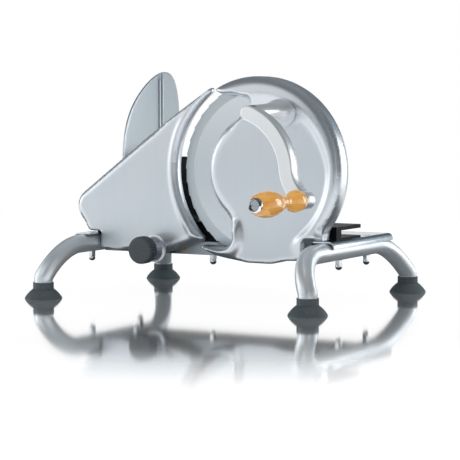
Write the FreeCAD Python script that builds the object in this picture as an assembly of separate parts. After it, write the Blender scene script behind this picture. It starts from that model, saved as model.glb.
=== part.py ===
import FreeCAD, Part
import math
import os

from FreeCAD import Vector

# Hand crank meat slicer, in millimetres, +Z up.
# +X runs along the carriage's travel, -Y is the side where the slices fall.
# Sizes are first given about the middle of the four feet, on the floor.

# ---- stand: two bent tubes on four rubber feet
foot_spacing_x = 319.1
foot_spacing_y = 250.4
foot_rim_radius = 20.1
foot_rim_height = 1.0
foot_height = 17.5
foot_collar_radius = 11.2
foot_collar_height = 7.0
foot_skirt_swell = 0.5
foot_floor = 4.0
tube_radius = 10.0
tube_wall = 1.5
tube_run_x = 144.1
tube_run_z = 56.5
tube_front_lean = 7.2
tube_rear_lean = 23.5
tube_front_bend = 47.0
tube_rear_bend = 64.0
tube_ankle_bend = 12.0
foot_fit = 0.1

# ---- base plate, beams and their fasteners
plate_thickness = 1.6
plate_rear_y = 92.0
plate_lip_bottom_z = 60.6
plate_bend_radius = 6.0
right_wing_front_y = -57.0
right_wing_blade_gap = 1.0
left_wing_front_y = -72.0
seat_gap = 0.1
beam_front_y = -35.5
beam_depth = 24.0
beam_height = 20.0
beam_wall = 3.0
rear_beam_y = 47.7
rear_beam_depth = 16.0
bolt_radius = 2.5
bolt_head_radius = 4.6
bolt_head_depth = 2.4
hole_clearance = 0.25
nut_radius = 4.3
nut_height = 5.0
nut_dome_height = 5.5
right_bolt_y = -21.5
left_bolt_y = -53.0
beam_bolt_spacing = 98.0
beam_bolt_middle_x = -2.6
beam_bolt_right_x = 109.0

# ---- carriage rail, a C profile open to the rear
rail_web_depth = 12.0
rail_depth = 60.0
rail_height = 13.8
rail_top_thickness = 4.0
rail_bottom_thickness = 2.0
rail_end_past_tube = 3.9
rail_lip_drop = 7.0
rail_lip_depth = 2.4

# ---- blade and its drive, all on axes along Y
blade_x = 67.0
blade_face_y = -43.1
blade_radius = 94.6
blade_thickness = 1.5
blade_bevel_width = 11.4
blade_edge_thickness = 0.3
blade_teeth = 40
blade_tooth_step = 1.1
gear_module = 2.0
blade_gear_teeth = 48
crank_gear_teeth = 22
gear_width = 6.0
gear_backlash = 0.25
crank_angle = 60.9
axle_radius = 6.0
running_fit = 0.05
blade_hub_radius = 22.0
blade_hub_flange = 3.0
blade_screw_circle = 15.0
blade_screw_radius = 2.0
blade_screw_head_radius = 3.8
bush_wall = 2.0

# ---- gear housing
housing_cover = 3.3
housing_low_z = 40.8
housing_back_y = -45.5
housing_face_y = -62.5
housing_crest_y = -70.0
housing_wall = 5.0
housing_bead_width = 22.0
rim_bead_start = -41.0
rim_bead_sweep = 163.0
shoulder_roll = 11.0
gear_room = 4.5
pinion_room = 1.2
housing_foot_right = 77.0
housing_foot_width = 19.0
housing_boss_radius = 3.6
housing_boss_angle = 60.2
housing_boss_outset = 1.6
housing_screw_radius = 2.0

# ---- crank and grip
crank_shaft_radius = 6.0
hub_ball_radius = 14.0
hub_ball_y = -76.5
hub_neck_radius = 8.2
arm_front_y = -145.0
arm_thickness = 15.0
arm_half_width = 7.3
arm_skin = 4.0
grip_offset_x = 60.3
grip_offset_z = -85.3
grip_boss_radius = 9.2
grip_boss_rise = 2.0
spindle_radius = 3.5
spindle_head_radius = 5.0
grip_length = 90.0
grip_big_radius = 12.8
grip_small_radius = 11.0
grip_waist_radius = 6.6
grip_play = 0.4
ring_radius = 7.4
ring_length = 7.0

# ---- thickness gauge
gauge_thickness = 10.9
gauge_gap = 7.4
gauge_travel = 15.0
gauge_bottom_clearance = 1.4
gauge_side_clearance = 1.6
gauge_edge_round = 2.4
gauge_notch_z = 51.5
gauge_tip_angle = 126.0
gauge_left_reach = 216.0
rod_radius = 4.0
rod_z = 58.0
rod_left_offset = -55.3
rod_right_offset = 24.7
rod_past_beam = 2.5
gauge_screw_to_blade = 129.7
gauge_screw_z = 52.9
gauge_screw_radius = 4.0
gauge_boss_radius = 10.5
gauge_boss_front_y = -70.0
knob_radius = 14.8
knob_front_y = -85.0
knob_gap = 1.0
knob_ribs = 40

# ---- carriage, back wall and pusher
slide_gap = 0.3
tray_thickness = 4.0
tray_front_y = -38.5
tray_rear_y = 84.0
tray_right_x = -16.0
wall_x = -110.0
wall_thickness = 2.0
wall_front_y = -39.5
wall_rear_y = 81.0
wall_top_z = 246.0
wall_peak_y = 48.5
wall_flange = 16.0
wall_bead_y = 38.0
wall_bead_radius = 1.8
wall_screw_radius = 2.0
wall_screw_head_height = 1.6
shoe_depth = 7.0
runner_y = 72.0
runner_width = 8.0
pusher_front_y = 22.0
pusher_thickness = 4.0
pusher_right_x = -9.0
pusher_top_z = 150.6
groove_width = 8.0
groove_depth = 2.2
groove_x = -84.0
spike_radius = 1.6
spike_length = 3.0

# ---- worked out from the sizes above
tube_front_corner_y = -foot_spacing_y / 2 + tube_front_lean
tube_rear_corner_y = foot_spacing_y / 2 - tube_rear_lean
rail_half_length = tube_run_x + rail_end_past_tube
plate_bottom_z = tube_run_z + tube_radius + seat_gap
plate_top_z = plate_bottom_z + plate_thickness
plate_half_width = tube_run_x + tube_radius + seat_gap + plate_thickness
beam_top_z = plate_bottom_z - seat_gap
beam_bottom_z = beam_top_z - beam_height
beam_rear_y = beam_front_y + beam_depth
beam_bolt_y = beam_front_y + rail_web_depth / 2
rail_front_y = beam_front_y
rail_top_z = plate_top_z + rail_height
blade_tip_radius = blade_radius + blade_tooth_step
housing_radius = blade_tip_radius + housing_cover
blade_z = housing_low_z + housing_radius
blade_gear_tip = gear_module * (blade_gear_teeth / 2 + 1)
crank_gear_tip = gear_module * (crank_gear_teeth / 2 + 1)
shoulder_radius = blade_gear_tip + gear_room + housing_wall
rod_rear_y = beam_rear_y + gauge_travel + rod_past_beam
blade_chord_at_plate = math.sqrt(blade_tip_radius ** 2 - (blade_z - plate_top_z) ** 2)
right_wing_inner_x = blade_x + blade_chord_at_plate + right_wing_blade_gap
left_wing_inner_x = -(tube_run_x - tube_radius)
blade_front_y = blade_face_y - blade_thickness
gear_rear_y = blade_front_y - blade_hub_flange
gear_front_y = gear_rear_y - gear_width
housing_inner_y = housing_face_y + housing_wall
gear_distance = gear_module * (blade_gear_teeth + crank_gear_teeth) / 2
crank_x = blade_x + gear_distance * math.cos(math.radians(crank_angle))
crank_z = blade_z + gear_distance * math.sin(math.radians(crank_angle))
arm_back_y = arm_front_y + arm_thickness
shaft_end_y = arm_front_y + arm_skin
grip_x = crank_x + grip_offset_x
grip_z = crank_z + grip_offset_z
grip_rear_y = arm_front_y - grip_boss_rise - grip_play
grip_tip_y = grip_rear_y - grip_length
ring_front_y = grip_tip_y - ring_length * 0.7
gauge_front_y = blade_face_y - gauge_thickness
gauge_screw_x = blade_x - gauge_screw_to_blade
rod_left_x = gauge_screw_x + rod_left_offset
rod_right_x = gauge_screw_x + rod_right_offset
tray_bottom_z = rail_top_z + slide_gap
tray_top_z = tray_bottom_z + tray_thickness
tray_left_x = wall_x - wall_thickness

# The frame's origin is the middle of the whole object's footprint, on the floor.
left_end_x = -foot_spacing_x / 2 - foot_rim_radius
right_end_x = foot_spacing_x / 2 + foot_rim_radius
front_end_y = ring_front_y
rear_end_y = foot_spacing_y / 2 + foot_rim_radius
origin_shift = Vector(-(left_end_x + right_end_x) / 2, -(front_end_y + rear_end_y) / 2, 0)


def save(shape, name):
    """Move a finished sub-part into the row's frame and write its file."""
    placed = shape.copy()
    placed.translate(origin_shift)
    placed = placed.removeSplitter()
    placed.exportStep("parts/" + name + ".step")
    box = placed.BoundBox
    print("%-24s solids %d valid %s  x %.1f..%.1f  y %.1f..%.1f  z %.1f..%.1f" % (
        name, len(placed.Solids), placed.isValid(),
        box.XMin, box.XMax, box.YMin, box.YMax, box.ZMin, box.ZMax))


def bar_y(x, z, radius, y_from, y_to):
    """A cylinder along Y."""
    return Part.makeCylinder(radius, abs(y_to - y_from), Vector(x, min(y_from, y_to), z), Vector(0, 1, 0))


def bar_z(x, y, radius, z_from, z_to):
    """A cylinder along Z."""
    return Part.makeCylinder(radius, z_to - z_from, Vector(x, y, z_from), Vector(0, 0, 1))


def block(x_from, x_to, y_from, y_to, z_from, z_to):
    """A box between two corners."""
    return Part.makeBox(x_to - x_from, y_to - y_from, z_to - z_from, Vector(x_from, y_from, z_from))


def corner_arc(before, corner, after, radius):
    """The tangent arc at a corner, with its two end points."""
    back = (before - corner).normalize()
    ahead = (after - corner).normalize()
    half_angle = back.getAngle(ahead) / 2
    reach = radius / math.tan(half_angle)
    start = corner + back * reach
    end = corner + ahead * reach
    middle_line = (back + ahead).normalize()
    centre = corner + middle_line * (radius / math.sin(half_angle))
    middle = centre - middle_line * radius
    return start, middle, end


def rounded_outline(corners, y):
    """A closed wire in a plane of constant Y from (x, z, radius) corners."""
    points = [Vector(x, y, z) for x, z, radius in corners]
    radii = [radius for x, z, radius in corners]
    count = len(points)
    edges = []
    first = None
    last = None
    for i in range(count):
        if radii[i] > 0:
            start, middle, end = corner_arc(points[i - 1], points[i], points[(i + 1) % count], radii[i])
        else:
            start = middle = end = points[i]
        if last is not None and (start - last).Length > 1e-6:
            edges.append(Part.makeLine(last, start))
        if radii[i] > 0:
            edges.append(Part.Arc(start, middle, end).toShape())
        if first is None:
            first = start
        last = end
    edges.append(Part.makeLine(last, first))
    return Part.Wire(edges)


def polar_corners(radius, points):
    """Corners about the blade's axis, given as (angle in degrees, distance outside the radius, rounding)."""
    corners = []
    for angle, outside, rounding in points:
        reach = radius + outside
        corners.append((blade_x + reach * math.cos(math.radians(angle)),
                        blade_z + reach * math.sin(math.radians(angle)), rounding))
    return corners


def plate_from(corners, y_from, y_to):
    """A plate standing in X and Z, between two values of Y."""
    face = Part.Face(rounded_outline(corners, y_from))
    return face.extrude(Vector(0, y_to - y_from, 0))


def turned(profile, x, z, start_angle=0.0, sweep=360.0):
    """A solid turned about an axis along Y from (radius, y) points; arcs are given as triples."""
    edges = []
    for piece in profile:
        points = [Vector(x + r, y, z) for r, y in piece]
        if len(points) == 2:
            edges.append(Part.makeLine(points[0], points[1]))
        else:
            edges.append(Part.Arc(points[0], points[1], points[2]).toShape())
    face = Part.Face(Part.Wire(edges))
    # a turn about -Y carries +X towards +Z
    face.rotate(Vector(x, 0, z), Vector(0, -1, 0), start_angle)
    return face.revolve(Vector(x, 0, z), Vector(0, -1, 0), sweep)


def bent_path(points, radii):
    """A line through the points with a tangent arc at each inner one."""
    edges = []
    last = points[0]
    for i in range(1, len(points) - 1):
        start, middle, end = corner_arc(points[i - 1], points[i], points[i + 1], radii[i - 1])
        edges.append(Part.makeLine(last, start))
        edges.append(Part.Arc(start, middle, end).toShape())
        last = end
    edges.append(Part.makeLine(last, points[-1]))
    return Part.Wire(edges)


def swept_round(path, radius):
    """A round bar along a path that starts straight up."""
    start = path.Vertexes[0].Point
    ring = Part.Wire([Part.makeCircle(radius, start, Vector(0, 0, 1))])
    return path.makePipeShell([ring], True, False)


def countersunk(x, y, top_z, bottom_z):
    """A countersunk screw standing along Z with its flat head at top_z."""
    head = Part.makeCone(bolt_radius, bolt_head_radius, bolt_head_depth, Vector(x, y, top_z - bolt_head_depth))
    shank = bar_z(x, y, bolt_radius, bottom_z, top_z - bolt_head_depth / 2)
    return head.fuse(shank)


def countersunk_hole(x, y, top_z):
    """The clearance hole for such a screw, cut right through."""
    hole = bar_z(x, y, bolt_radius + hole_clearance, 0, top_z + 1)
    sink = Part.makeCone(bolt_radius + hole_clearance, bolt_head_radius + hole_clearance, bolt_head_depth,
                         Vector(x, y, top_z - bolt_head_depth))
    return hole.fuse(sink)


# ---- stand
def tube_path(side):
    """The middle line of one bent tube, from its front foot to its rear foot."""
    foot_x = side * foot_spacing_x / 2
    run_x = side * tube_run_x
    ankle_z = foot_height + tube_ankle_bend * 0.4
    points = [
        Vector(foot_x, -foot_spacing_y / 2, foot_floor),
        Vector(foot_x, -foot_spacing_y / 2, ankle_z),
        Vector(run_x, tube_front_corner_y, tube_run_z),
        Vector(run_x, tube_rear_corner_y, tube_run_z),
        Vector(foot_x, foot_spacing_y / 2, ankle_z),
        Vector(foot_x, foot_spacing_y / 2, foot_floor),
    ]
    radii = [tube_ankle_bend, tube_front_bend, tube_rear_bend, tube_ankle_bend]
    return bent_path(points, radii)


def tube_bolts(side):
    """The places along Y of the screws through one tube."""
    if side > 0:
        return [right_bolt_y, rear_beam_y]
    return [left_bolt_y, rear_beam_y]


def bent_tube(side):
    path = tube_path(side)
    tube = swept_round(path, tube_radius).cut(swept_round(path, tube_radius - tube_wall))
    for y in tube_bolts(side):
        tube = tube.cut(countersunk_hole(side * tube_run_x, y, plate_top_z))
    return tube


def rubber_foot(side_x, side_y):
    x = side_x * foot_spacing_x / 2
    y = side_y * foot_spacing_y / 2
    collar_bottom = foot_height - foot_collar_height
    edges = [
        Part.makeLine(Vector(x, y, 0), Vector(x + foot_rim_radius, y, 0)),
        Part.makeLine(Vector(x + foot_rim_radius, y, 0), Vector(x + foot_rim_radius, y, foot_rim_height)),
    ]
    # the skirt swells outward between the rim and the collar
    skirt_middle_r = (foot_rim_radius + foot_collar_radius) / 2 + foot_skirt_swell
    skirt_middle_z = (foot_rim_height + collar_bottom) / 2 + foot_skirt_swell
    edges.append(Part.Arc(Vector(x + foot_rim_radius, y, foot_rim_height),
                          Vector(x + skirt_middle_r, y, skirt_middle_z),
                          Vector(x + foot_collar_radius, y, collar_bottom)).toShape())
    edges.append(Part.makeLine(Vector(x + foot_collar_radius, y, collar_bottom),
                               Vector(x + foot_collar_radius, y, foot_height)))
    edges.append(Part.makeLine(Vector(x + foot_collar_radius, y, foot_height), Vector(x, y, foot_height)))
    edges.append(Part.makeLine(Vector(x, y, foot_height), Vector(x, y, 0)))
    body = Part.Face(Part.Wire(edges)).revolve(Vector(x, y, 0), Vector(0, 0, 1), 360)
    socket = bar_z(x, y, tube_radius + foot_fit, foot_floor, foot_height)
    plug = bar_z(x, y, tube_radius - tube_wall - foot_fit, foot_floor, foot_height - 2)
    return body.cut(socket).fuse(plug)


# ---- base plate and beams
def base_plate():
    """A folded sheet over both tubes, with a wing forward on each side."""
    half = plate_half_width
    inner_bend = plate_bend_radius - plate_thickness
    outer = [
        (-half, plate_lip_bottom_z, 0), (-half, plate_top_z, plate_bend_radius),
        (half, plate_top_z, plate_bend_radius), (half, plate_lip_bottom_z, 0),
    ]
    inner_half = half - plate_thickness
    inner = [
        (-inner_half, plate_lip_bottom_z - 1, 0), (-inner_half, plate_bottom_z, inner_bend),
        (inner_half, plate_bottom_z, inner_bend), (inner_half, plate_lip_bottom_z - 1, 0),
    ]
    sheet = plate_from(outer, left_wing_front_y, plate_rear_y)
    sheet = sheet.cut(plate_from(inner, left_wing_front_y - 1, plate_rear_y + 1))
    middle = block(left_wing_inner_x, right_wing_inner_x, left_wing_front_y - 1, beam_front_y,
                   plate_lip_bottom_z - 2, plate_top_z + 1)
    right_front = block(0, half + 1, left_wing_front_y - 1, right_wing_front_y,
                        plate_lip_bottom_z - 2, plate_top_z + 1)
    sheet = sheet.cut(middle).cut(right_front)
    for x, y in plate_bolt_places():
        sheet = sheet.cut(countersunk_hole(x, y, plate_top_z))
    for x in beam_bolt_places():
        sheet = sheet.cut(bar_z(x, beam_bolt_y, bolt_radius + hole_clearance, 0, plate_top_z + 1))
    return sheet


def plate_bolt_places():
    """Screws whose heads lie flush in the plate."""
    return [(side * tube_run_x, y) for side in (-1, 1) for y in tube_bolts(side)]


def beam_bolt_places():
    """Screws along the front beam that also hold the rail."""
    return [beam_bolt_middle_x - beam_bolt_spacing, beam_bolt_middle_x, beam_bolt_right_x]


def hollow_bar(y_from, y_to, z_from, z_to):
    """A square tube from one stand tube to the other, its ends coped round them."""
    reach = tube_run_x
    bar = block(-reach, reach, y_from, y_to, z_from, z_to)
    bar = bar.cut(block(-reach - 1, reach + 1, y_from + beam_wall, y_to - beam_wall,
                        z_from + beam_wall, z_to - beam_wall))
    for side in (-1, 1):
        cope = bar_y(side * tube_run_x, tube_run_z, tube_radius + seat_gap, y_from - 1, y_to + 1)
        far = block(side * tube_run_x - tube_radius * 0.6, side * tube_run_x + tube_radius * 0.6,
                    y_from - 1, y_to + 1, z_from - 1, z_to + 1)
        bar = bar.cut(cope).cut(far)
    return bar


def front_beam():
    bar = hollow_bar(beam_front_y, beam_rear_y, beam_bottom_z, beam_top_z)
    for x in beam_bolt_places():
        bar = bar.cut(bar_z(x, beam_bolt_y, bolt_radius + hole_clearance, 0, plate_top_z))
    for x in (rod_left_x, rod_right_x):
        bar = bar.cut(bar_y(x, rod_z, rod_radius + bush_wall, beam_front_y - 1, beam_rear_y + 1))
    bar = bar.cut(bar_y(gauge_screw_x, gauge_screw_z, gauge_screw_radius + bush_wall,
                        beam_front_y - 1, beam_rear_y + 1))
    for x, z in housing_boss_places():
        bar = bar.cut(bar_y(x, z, housing_screw_radius + hole_clearance, beam_front_y - 1, beam_rear_y + 1))
    return bar


def rear_beam():
    half = rear_beam_depth / 2
    return hollow_bar(rear_beam_y - half, rear_beam_y + half, beam_top_z - rear_beam_depth, beam_top_z)


def frame_screws():
    """Countersunk screws through the plate and the tubes."""
    bottom = tube_run_z - tube_radius - nut_height
    return Part.makeCompound([countersunk(x, y, plate_top_z, bottom) for x, y in plate_bolt_places()])


def rail_screws():
    """Countersunk screws through the rail, the plate and the front beam."""
    bottom = beam_bottom_z - nut_height
    return Part.makeCompound([countersunk(x, beam_bolt_y, rail_top_z, bottom)
                              for x in beam_bolt_places()])


def cap_nut(x, y, top_z):
    """A hexagon nut with a domed cap, hanging below top_z."""
    hexagon = Part.makePolygon([Vector(x + nut_radius * math.cos(math.radians(60 * i)),
                                       y + nut_radius * math.sin(math.radians(60 * i)), top_z)
                                for i in range(7)])
    body = Part.Face(hexagon).extrude(Vector(0, 0, -nut_height))
    dome_radius = nut_radius * 0.85
    neck = nut_dome_height - dome_radius
    dome = bar_z(x, y, dome_radius, top_z - nut_height - neck, top_z - nut_height)
    ball = Part.makeSphere(dome_radius, Vector(x, y, top_z - nut_height - neck))
    bore = bar_z(x, y, bolt_radius, top_z - nut_height, top_z)
    return body.fuse(dome).fuse(ball).cut(bore)


def cap_nuts():
    nuts = []
    for side in (-1, 1):
        for y in tube_bolts(side):
            nuts.append(cap_nut(side * tube_run_x, y, tube_run_z - tube_radius))
    for x in beam_bolt_places():
        nuts.append(cap_nut(x, beam_bolt_y, beam_bottom_z))
    return Part.makeCompound(nuts)


# ---- rail
def slide_rail():
    """A C profile open to the rear, with a lip over the beam's front edge."""
    front = rail_front_y
    rear = rail_front_y + rail_depth
    web_rear = rail_front_y + rail_web_depth
    half = rail_half_length
    whole = block(-half, half, front, rear, plate_top_z, rail_top_z)
    channel = block(-half - 1, half + 1, web_rear, rear + 1,
                    plate_top_z + rail_bottom_thickness, rail_top_z - rail_top_thickness)
    rail = whole.cut(channel)
    lip_half = beam_bolt_spacing + rod_radius * 2
    lip = block(beam_bolt_middle_x - lip_half, beam_bolt_middle_x + lip_half,
                front - rail_lip_depth, front, plate_top_z - rail_lip_drop, rail_top_z - rail_top_thickness)
    # the lip stops short of the guide rods' flanges
    lip = lip.cut(block(-half, rod_right_x + rod_radius * 3, front - rail_lip_depth - 1, front,
                        0, plate_top_z))
    rail = rail.fuse(lip)
    for x in beam_bolt_places():
        rail = rail.cut(countersunk_hole(x, beam_bolt_y, rail_top_z))
    return rail


# ---- gears
def gear_outline(teeth, y, phase):
    """A closed wire of involute teeth about the Y axis, one tooth centred at the phase angle."""
    pressure = math.radians(20)
    pitch_radius = gear_module * teeth / 2
    base_radius = pitch_radius * math.cos(pressure)
    tip_radius = pitch_radius + gear_module
    root_radius = pitch_radius - 1.25 * gear_module
    flank_start = max(base_radius, root_radius)
    involute_at_pitch = math.tan(pressure) - pressure
    half_tooth = math.pi / (2 * teeth) - gear_backlash / (4 * pitch_radius)
    flank = []
    flank_steps = 4
    for i in range(flank_steps + 1):
        r = flank_start + (tip_radius - flank_start) * i / flank_steps
        local_pressure = math.acos(min(1.0, base_radius / r))
        flank.append((r, half_tooth + involute_at_pitch - (math.tan(local_pressure) - local_pressure)))
    points = []
    for tooth in range(teeth):
        middle = math.radians(phase) + 2 * math.pi * tooth / teeth
        points.append((root_radius, middle - flank[0][1]))
        points.extend([(r, middle - a) for r, a in flank])
        points.extend([(r, middle + a) for r, a in reversed(flank)])
        points.append((root_radius, middle + flank[0][1]))
    cleaned = []
    for r, a in points:
        vertex = Vector(r * math.cos(a), y, r * math.sin(a))
        if not cleaned or (vertex - cleaned[-1]).Length > 1e-3:
            cleaned.append(vertex)
    cleaned.append(cleaned[0])
    return Part.makePolygon(cleaned)


def gear_body(teeth, x, z, phase, y_from, y_to):
    wire = gear_outline(teeth, y_from, phase)
    body = Part.Face(wire).extrude(Vector(0, y_to - y_from, 0))
    body.translate(Vector(x, 0, z))
    return body


def blade_gear():
    """The big gear with its hub and the flange that carries the blade."""
    body = gear_body(blade_gear_teeth, blade_x, blade_z, crank_angle, gear_front_y, gear_rear_y)
    web_radius = gear_module * blade_gear_teeth / 2 - 6
    web_ring = bar_y(blade_x, blade_z, web_radius, gear_front_y - 1, gear_front_y + 2)
    web_ring = web_ring.cut(bar_y(blade_x, blade_z, blade_hub_radius, gear_front_y - 1, gear_front_y + 2))
    body = body.cut(web_ring)
    body = body.fuse(bar_y(blade_x, blade_z, blade_hub_radius, gear_rear_y, blade_front_y))
    bore = bar_y(blade_x, blade_z, axle_radius + bush_wall, gear_front_y - 1, blade_front_y + 1)
    body = body.cut(bore)
    for x, z in blade_screw_places():
        body = body.cut(bar_y(x, z, blade_screw_radius, gear_front_y + 1, blade_front_y + 1))
    return body


def blade_screw_places():
    return [(blade_x + blade_screw_circle * math.cos(math.radians(90 + 120 * i)),
             blade_z + blade_screw_circle * math.sin(math.radians(90 + 120 * i))) for i in range(3)]


def blade_bush():
    outer = bar_y(blade_x, blade_z, axle_radius + bush_wall, gear_front_y, blade_face_y)
    return outer.cut(bar_y(blade_x, blade_z, axle_radius + running_fit, gear_front_y - 1, blade_face_y + 1))


def blade():
    """A flat disc ground to an edge on its front side, with stepped teeth."""
    outer = blade_tip_radius
    bevel_inner = outer - blade_bevel_width
    inner = axle_radius + bush_wall
    disc = turned([
        ((inner, blade_face_y), (outer, blade_face_y)),
        ((outer, blade_face_y), (outer, blade_face_y - blade_edge_thickness)),
        ((outer, blade_face_y - blade_edge_thickness), (bevel_inner, blade_front_y)),
        ((bevel_inner, blade_front_y), (inner, blade_front_y)),
        ((inner, blade_front_y), (inner, blade_face_y)),
    ], blade_x, blade_z)
    # each tooth runs out along a chord and drops back in one step
    rim = []
    for i in range(blade_teeth):
        start = 2 * math.pi * i / blade_teeth
        end = 2 * math.pi * (i + 0.94) / blade_teeth
        rim.append(Vector(blade_x + blade_radius * math.cos(start), blade_front_y - 1,
                          blade_z + blade_radius * math.sin(start)))
        rim.append(Vector(blade_x + outer * math.cos(end), blade_front_y - 1,
                          blade_z + outer * math.sin(end)))
    rim.append(rim[0])
    toothed = Part.Face(Part.makePolygon(rim)).extrude(Vector(0, blade_thickness + 2, 0))
    disc = disc.common(toothed)
    for x, z in blade_screw_places():
        disc = disc.cut(blade_screw_hole(x, z))
    return disc


def blade_screw_hole(x, z):
    shank = bar_y(x, z, blade_screw_radius + hole_clearance, blade_front_y - 1, blade_face_y + 1)
    head = Part.makeCone(blade_screw_radius + hole_clearance, blade_screw_head_radius + hole_clearance,
                         blade_thickness, Vector(x, blade_front_y, z), Vector(0, 1, 0))
    return shank.fuse(head)


def blade_screws():
    screws = []
    for x, z in blade_screw_places():
        head = Part.makeCone(blade_screw_radius, blade_screw_head_radius, blade_thickness,
                             Vector(x, blade_front_y, z), Vector(0, 1, 0))
        shank = bar_y(x, z, blade_screw_radius, gear_front_y + 1.5, blade_front_y)
        slot = block(x - blade_screw_head_radius - 1, x + blade_screw_head_radius + 1,
                     blade_face_y - 0.6, blade_face_y + 1, z - 0.5, z + 0.5)
        screws.append(head.fuse(shank).cut(slot))
    return Part.makeCompound(screws)


def blade_axle():
    """A pin pressed into the housing, on which the blade gear turns."""
    root = housing_face_y + 1.5
    pin = bar_y(blade_x, blade_z, axle_radius, root, blade_face_y)
    return pin.cut(bar_y(blade_x, blade_z, axle_screw_radius(), blade_face_y - 9, blade_face_y + 1))


def axle_screw_radius():
    return axle_radius / 2


def axle_cap():
    """A flat screw with a wide head that keeps the blade on its axle."""
    head = bar_y(blade_x, blade_z, axle_radius + bush_wall + 2, blade_face_y + slide_gap, blade_face_y + 2.0)
    shank = bar_y(blade_x, blade_z, axle_screw_radius(), blade_face_y - 8.5, blade_face_y + slide_gap)
    slot = block(blade_x - 12, blade_x + 12, blade_face_y + 1.2, blade_face_y + 3, blade_z - 0.8, blade_z + 0.8)
    return head.fuse(shank).cut(slot)


# ---- housing
def housing_boss_places():
    """The two bosses low on the housing, left and right of the blade's axis."""
    reach = housing_radius + housing_boss_outset
    across = reach * math.cos(math.radians(housing_boss_angle))
    down = reach * math.sin(math.radians(housing_boss_angle))
    return [(blade_x + side * across, blade_z - down) for side in (-1, 1)]


def horn_window():
    """The space left of the housing in which the blade shows, less the round shoulder."""
    window = plate_from(polar_corners(housing_radius, [
        (155.2, 44.2, 0), (121.3, 0.2, 0), (117.2, -9.4, 8), (107.4, -15.5, 30), (96.9, -24.5, 5),
        (100.3, -31.9, 5), (121.0, -40.7, 0), (90.0, -79.0, 0), (-90.0, -69.0, 0), (233.4, -38.6, 0),
        (244.7, -30.0, 30), (250.1, -16.0, 9), (243.2, -6.0, 12), (233.4, 1.7, 20), (229.0, 7.3, 0),
        (211.3, 53.1, 0),
    ]), housing_crest_y - 5, housing_back_y + 1)
    return window.cut(bar_y(blade_x, blade_z, shoulder_radius, housing_crest_y - 6, housing_back_y + 2))


def lower_body():
    """The flat-bottomed part of the housing below the round one, with a foot on the right wing."""
    foot_z = plate_top_z + seat_gap
    foot_right = blade_x + housing_foot_right
    foot_left = foot_right - housing_foot_width
    corners = [(blade_x, blade_z, 0)]
    corners += polar_corners(housing_radius, [(0, -3, 0), (-27.6, 0.3, 0), (-38.5, 0.6, 6)])
    corners += [(foot_right, foot_z, 0), (foot_left, foot_z, 2)]
    corners += polar_corners(housing_radius, [
        (300.4, 7.7, 3), (290.1, 0, 30), (280.5, -0.5, 30), (262.9, -1.5, 40), (247.8, 1.7, 60),
        (240.1, 5.4, 30), (228.3, 8.4, 1.2), (231.8, -10, 0),
    ])
    return plate_from(corners, housing_face_y, housing_back_y)


def rim_bead():
    """The raised round rim, from the upper horn's tip clockwise to the right foot."""
    inner = housing_radius - housing_bead_width
    crest = housing_radius - housing_bead_width * 0.42
    rim_y = housing_face_y + 1
    inner_mid = (inner + housing_bead_width * 0.25, housing_crest_y + 2.2)
    outer_mid = (housing_radius - 2.6, (housing_crest_y + housing_face_y) / 2 + 0.7)
    return turned([
        ((inner, rim_y), (inner, housing_face_y)),
        ((inner, housing_face_y), inner_mid, (crest, housing_crest_y)),
        ((crest, housing_crest_y), outer_mid, (housing_radius, rim_y)),
        ((housing_radius, rim_y), (inner, rim_y)),
    ], blade_x, blade_z, rim_bead_start, rim_bead_sweep)


def lower_horn_bead():
    """The raised lip of the lower horn, which runs up into the shoulder."""
    corners = polar_corners(housing_radius, [
        (229.3, 7.6, 0), (240.1, 5.2, 30), (247.8, 1.4, 40), (256.6, -4.4, 12), (261.3, -20.1, 20),
        (259.0, -35.8, 12), (241.8, -36.6, 0), (248.6, -19.5, 10), (245.3, -8.2, 8), (233.4, 1.5, 20),
    ])
    return plate_from(corners, housing_face_y - 4.5, housing_face_y + 1)


def shoulder_relief():
    """What the rounded shoulder takes off the square edge beside the blade."""
    inner = shoulder_radius
    outer = shoulder_radius - shoulder_roll
    top = housing_face_y - 6
    knee = housing_face_y + shoulder_roll
    bulge = shoulder_roll * (1 - math.sqrt(0.5))
    return turned([
        ((inner + 1, top), (outer, top)),
        ((outer, top), (outer, housing_face_y)),
        ((outer, housing_face_y), (inner - bulge, housing_face_y + bulge), (inner, knee)),
        ((inner, knee), (inner + 1, knee)),
        ((inner + 1, knee), (inner + 1, top)),
    ], blade_x, blade_z, 137, 86)


def gear_cavity():
    """The hollow for the gears, open towards the blade."""
    deep = housing_inner_y
    hollow = bar_y(blade_x, blade_z, blade_gear_tip + gear_room, deep, housing_back_y + 1)
    hollow = hollow.fuse(bar_y(crank_x, crank_z, crank_gear_tip + pinion_room,
                               deep, housing_back_y + 1))
    round_room = bar_y(blade_x, blade_z, housing_radius - housing_wall, deep, housing_back_y + 1)
    right_half = block(blade_x + 4, blade_x + housing_radius, deep, housing_back_y + 1,
                       plate_top_z + housing_wall + 3, blade_z + housing_radius)
    hollow = hollow.fuse(round_room.common(right_half))
    low_room = block(blade_x - 18, blade_x + 42, deep, housing_back_y + 1,
                     housing_low_z + housing_wall * 2, plate_top_z + 2.5)
    return hollow.fuse(low_room)


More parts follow.
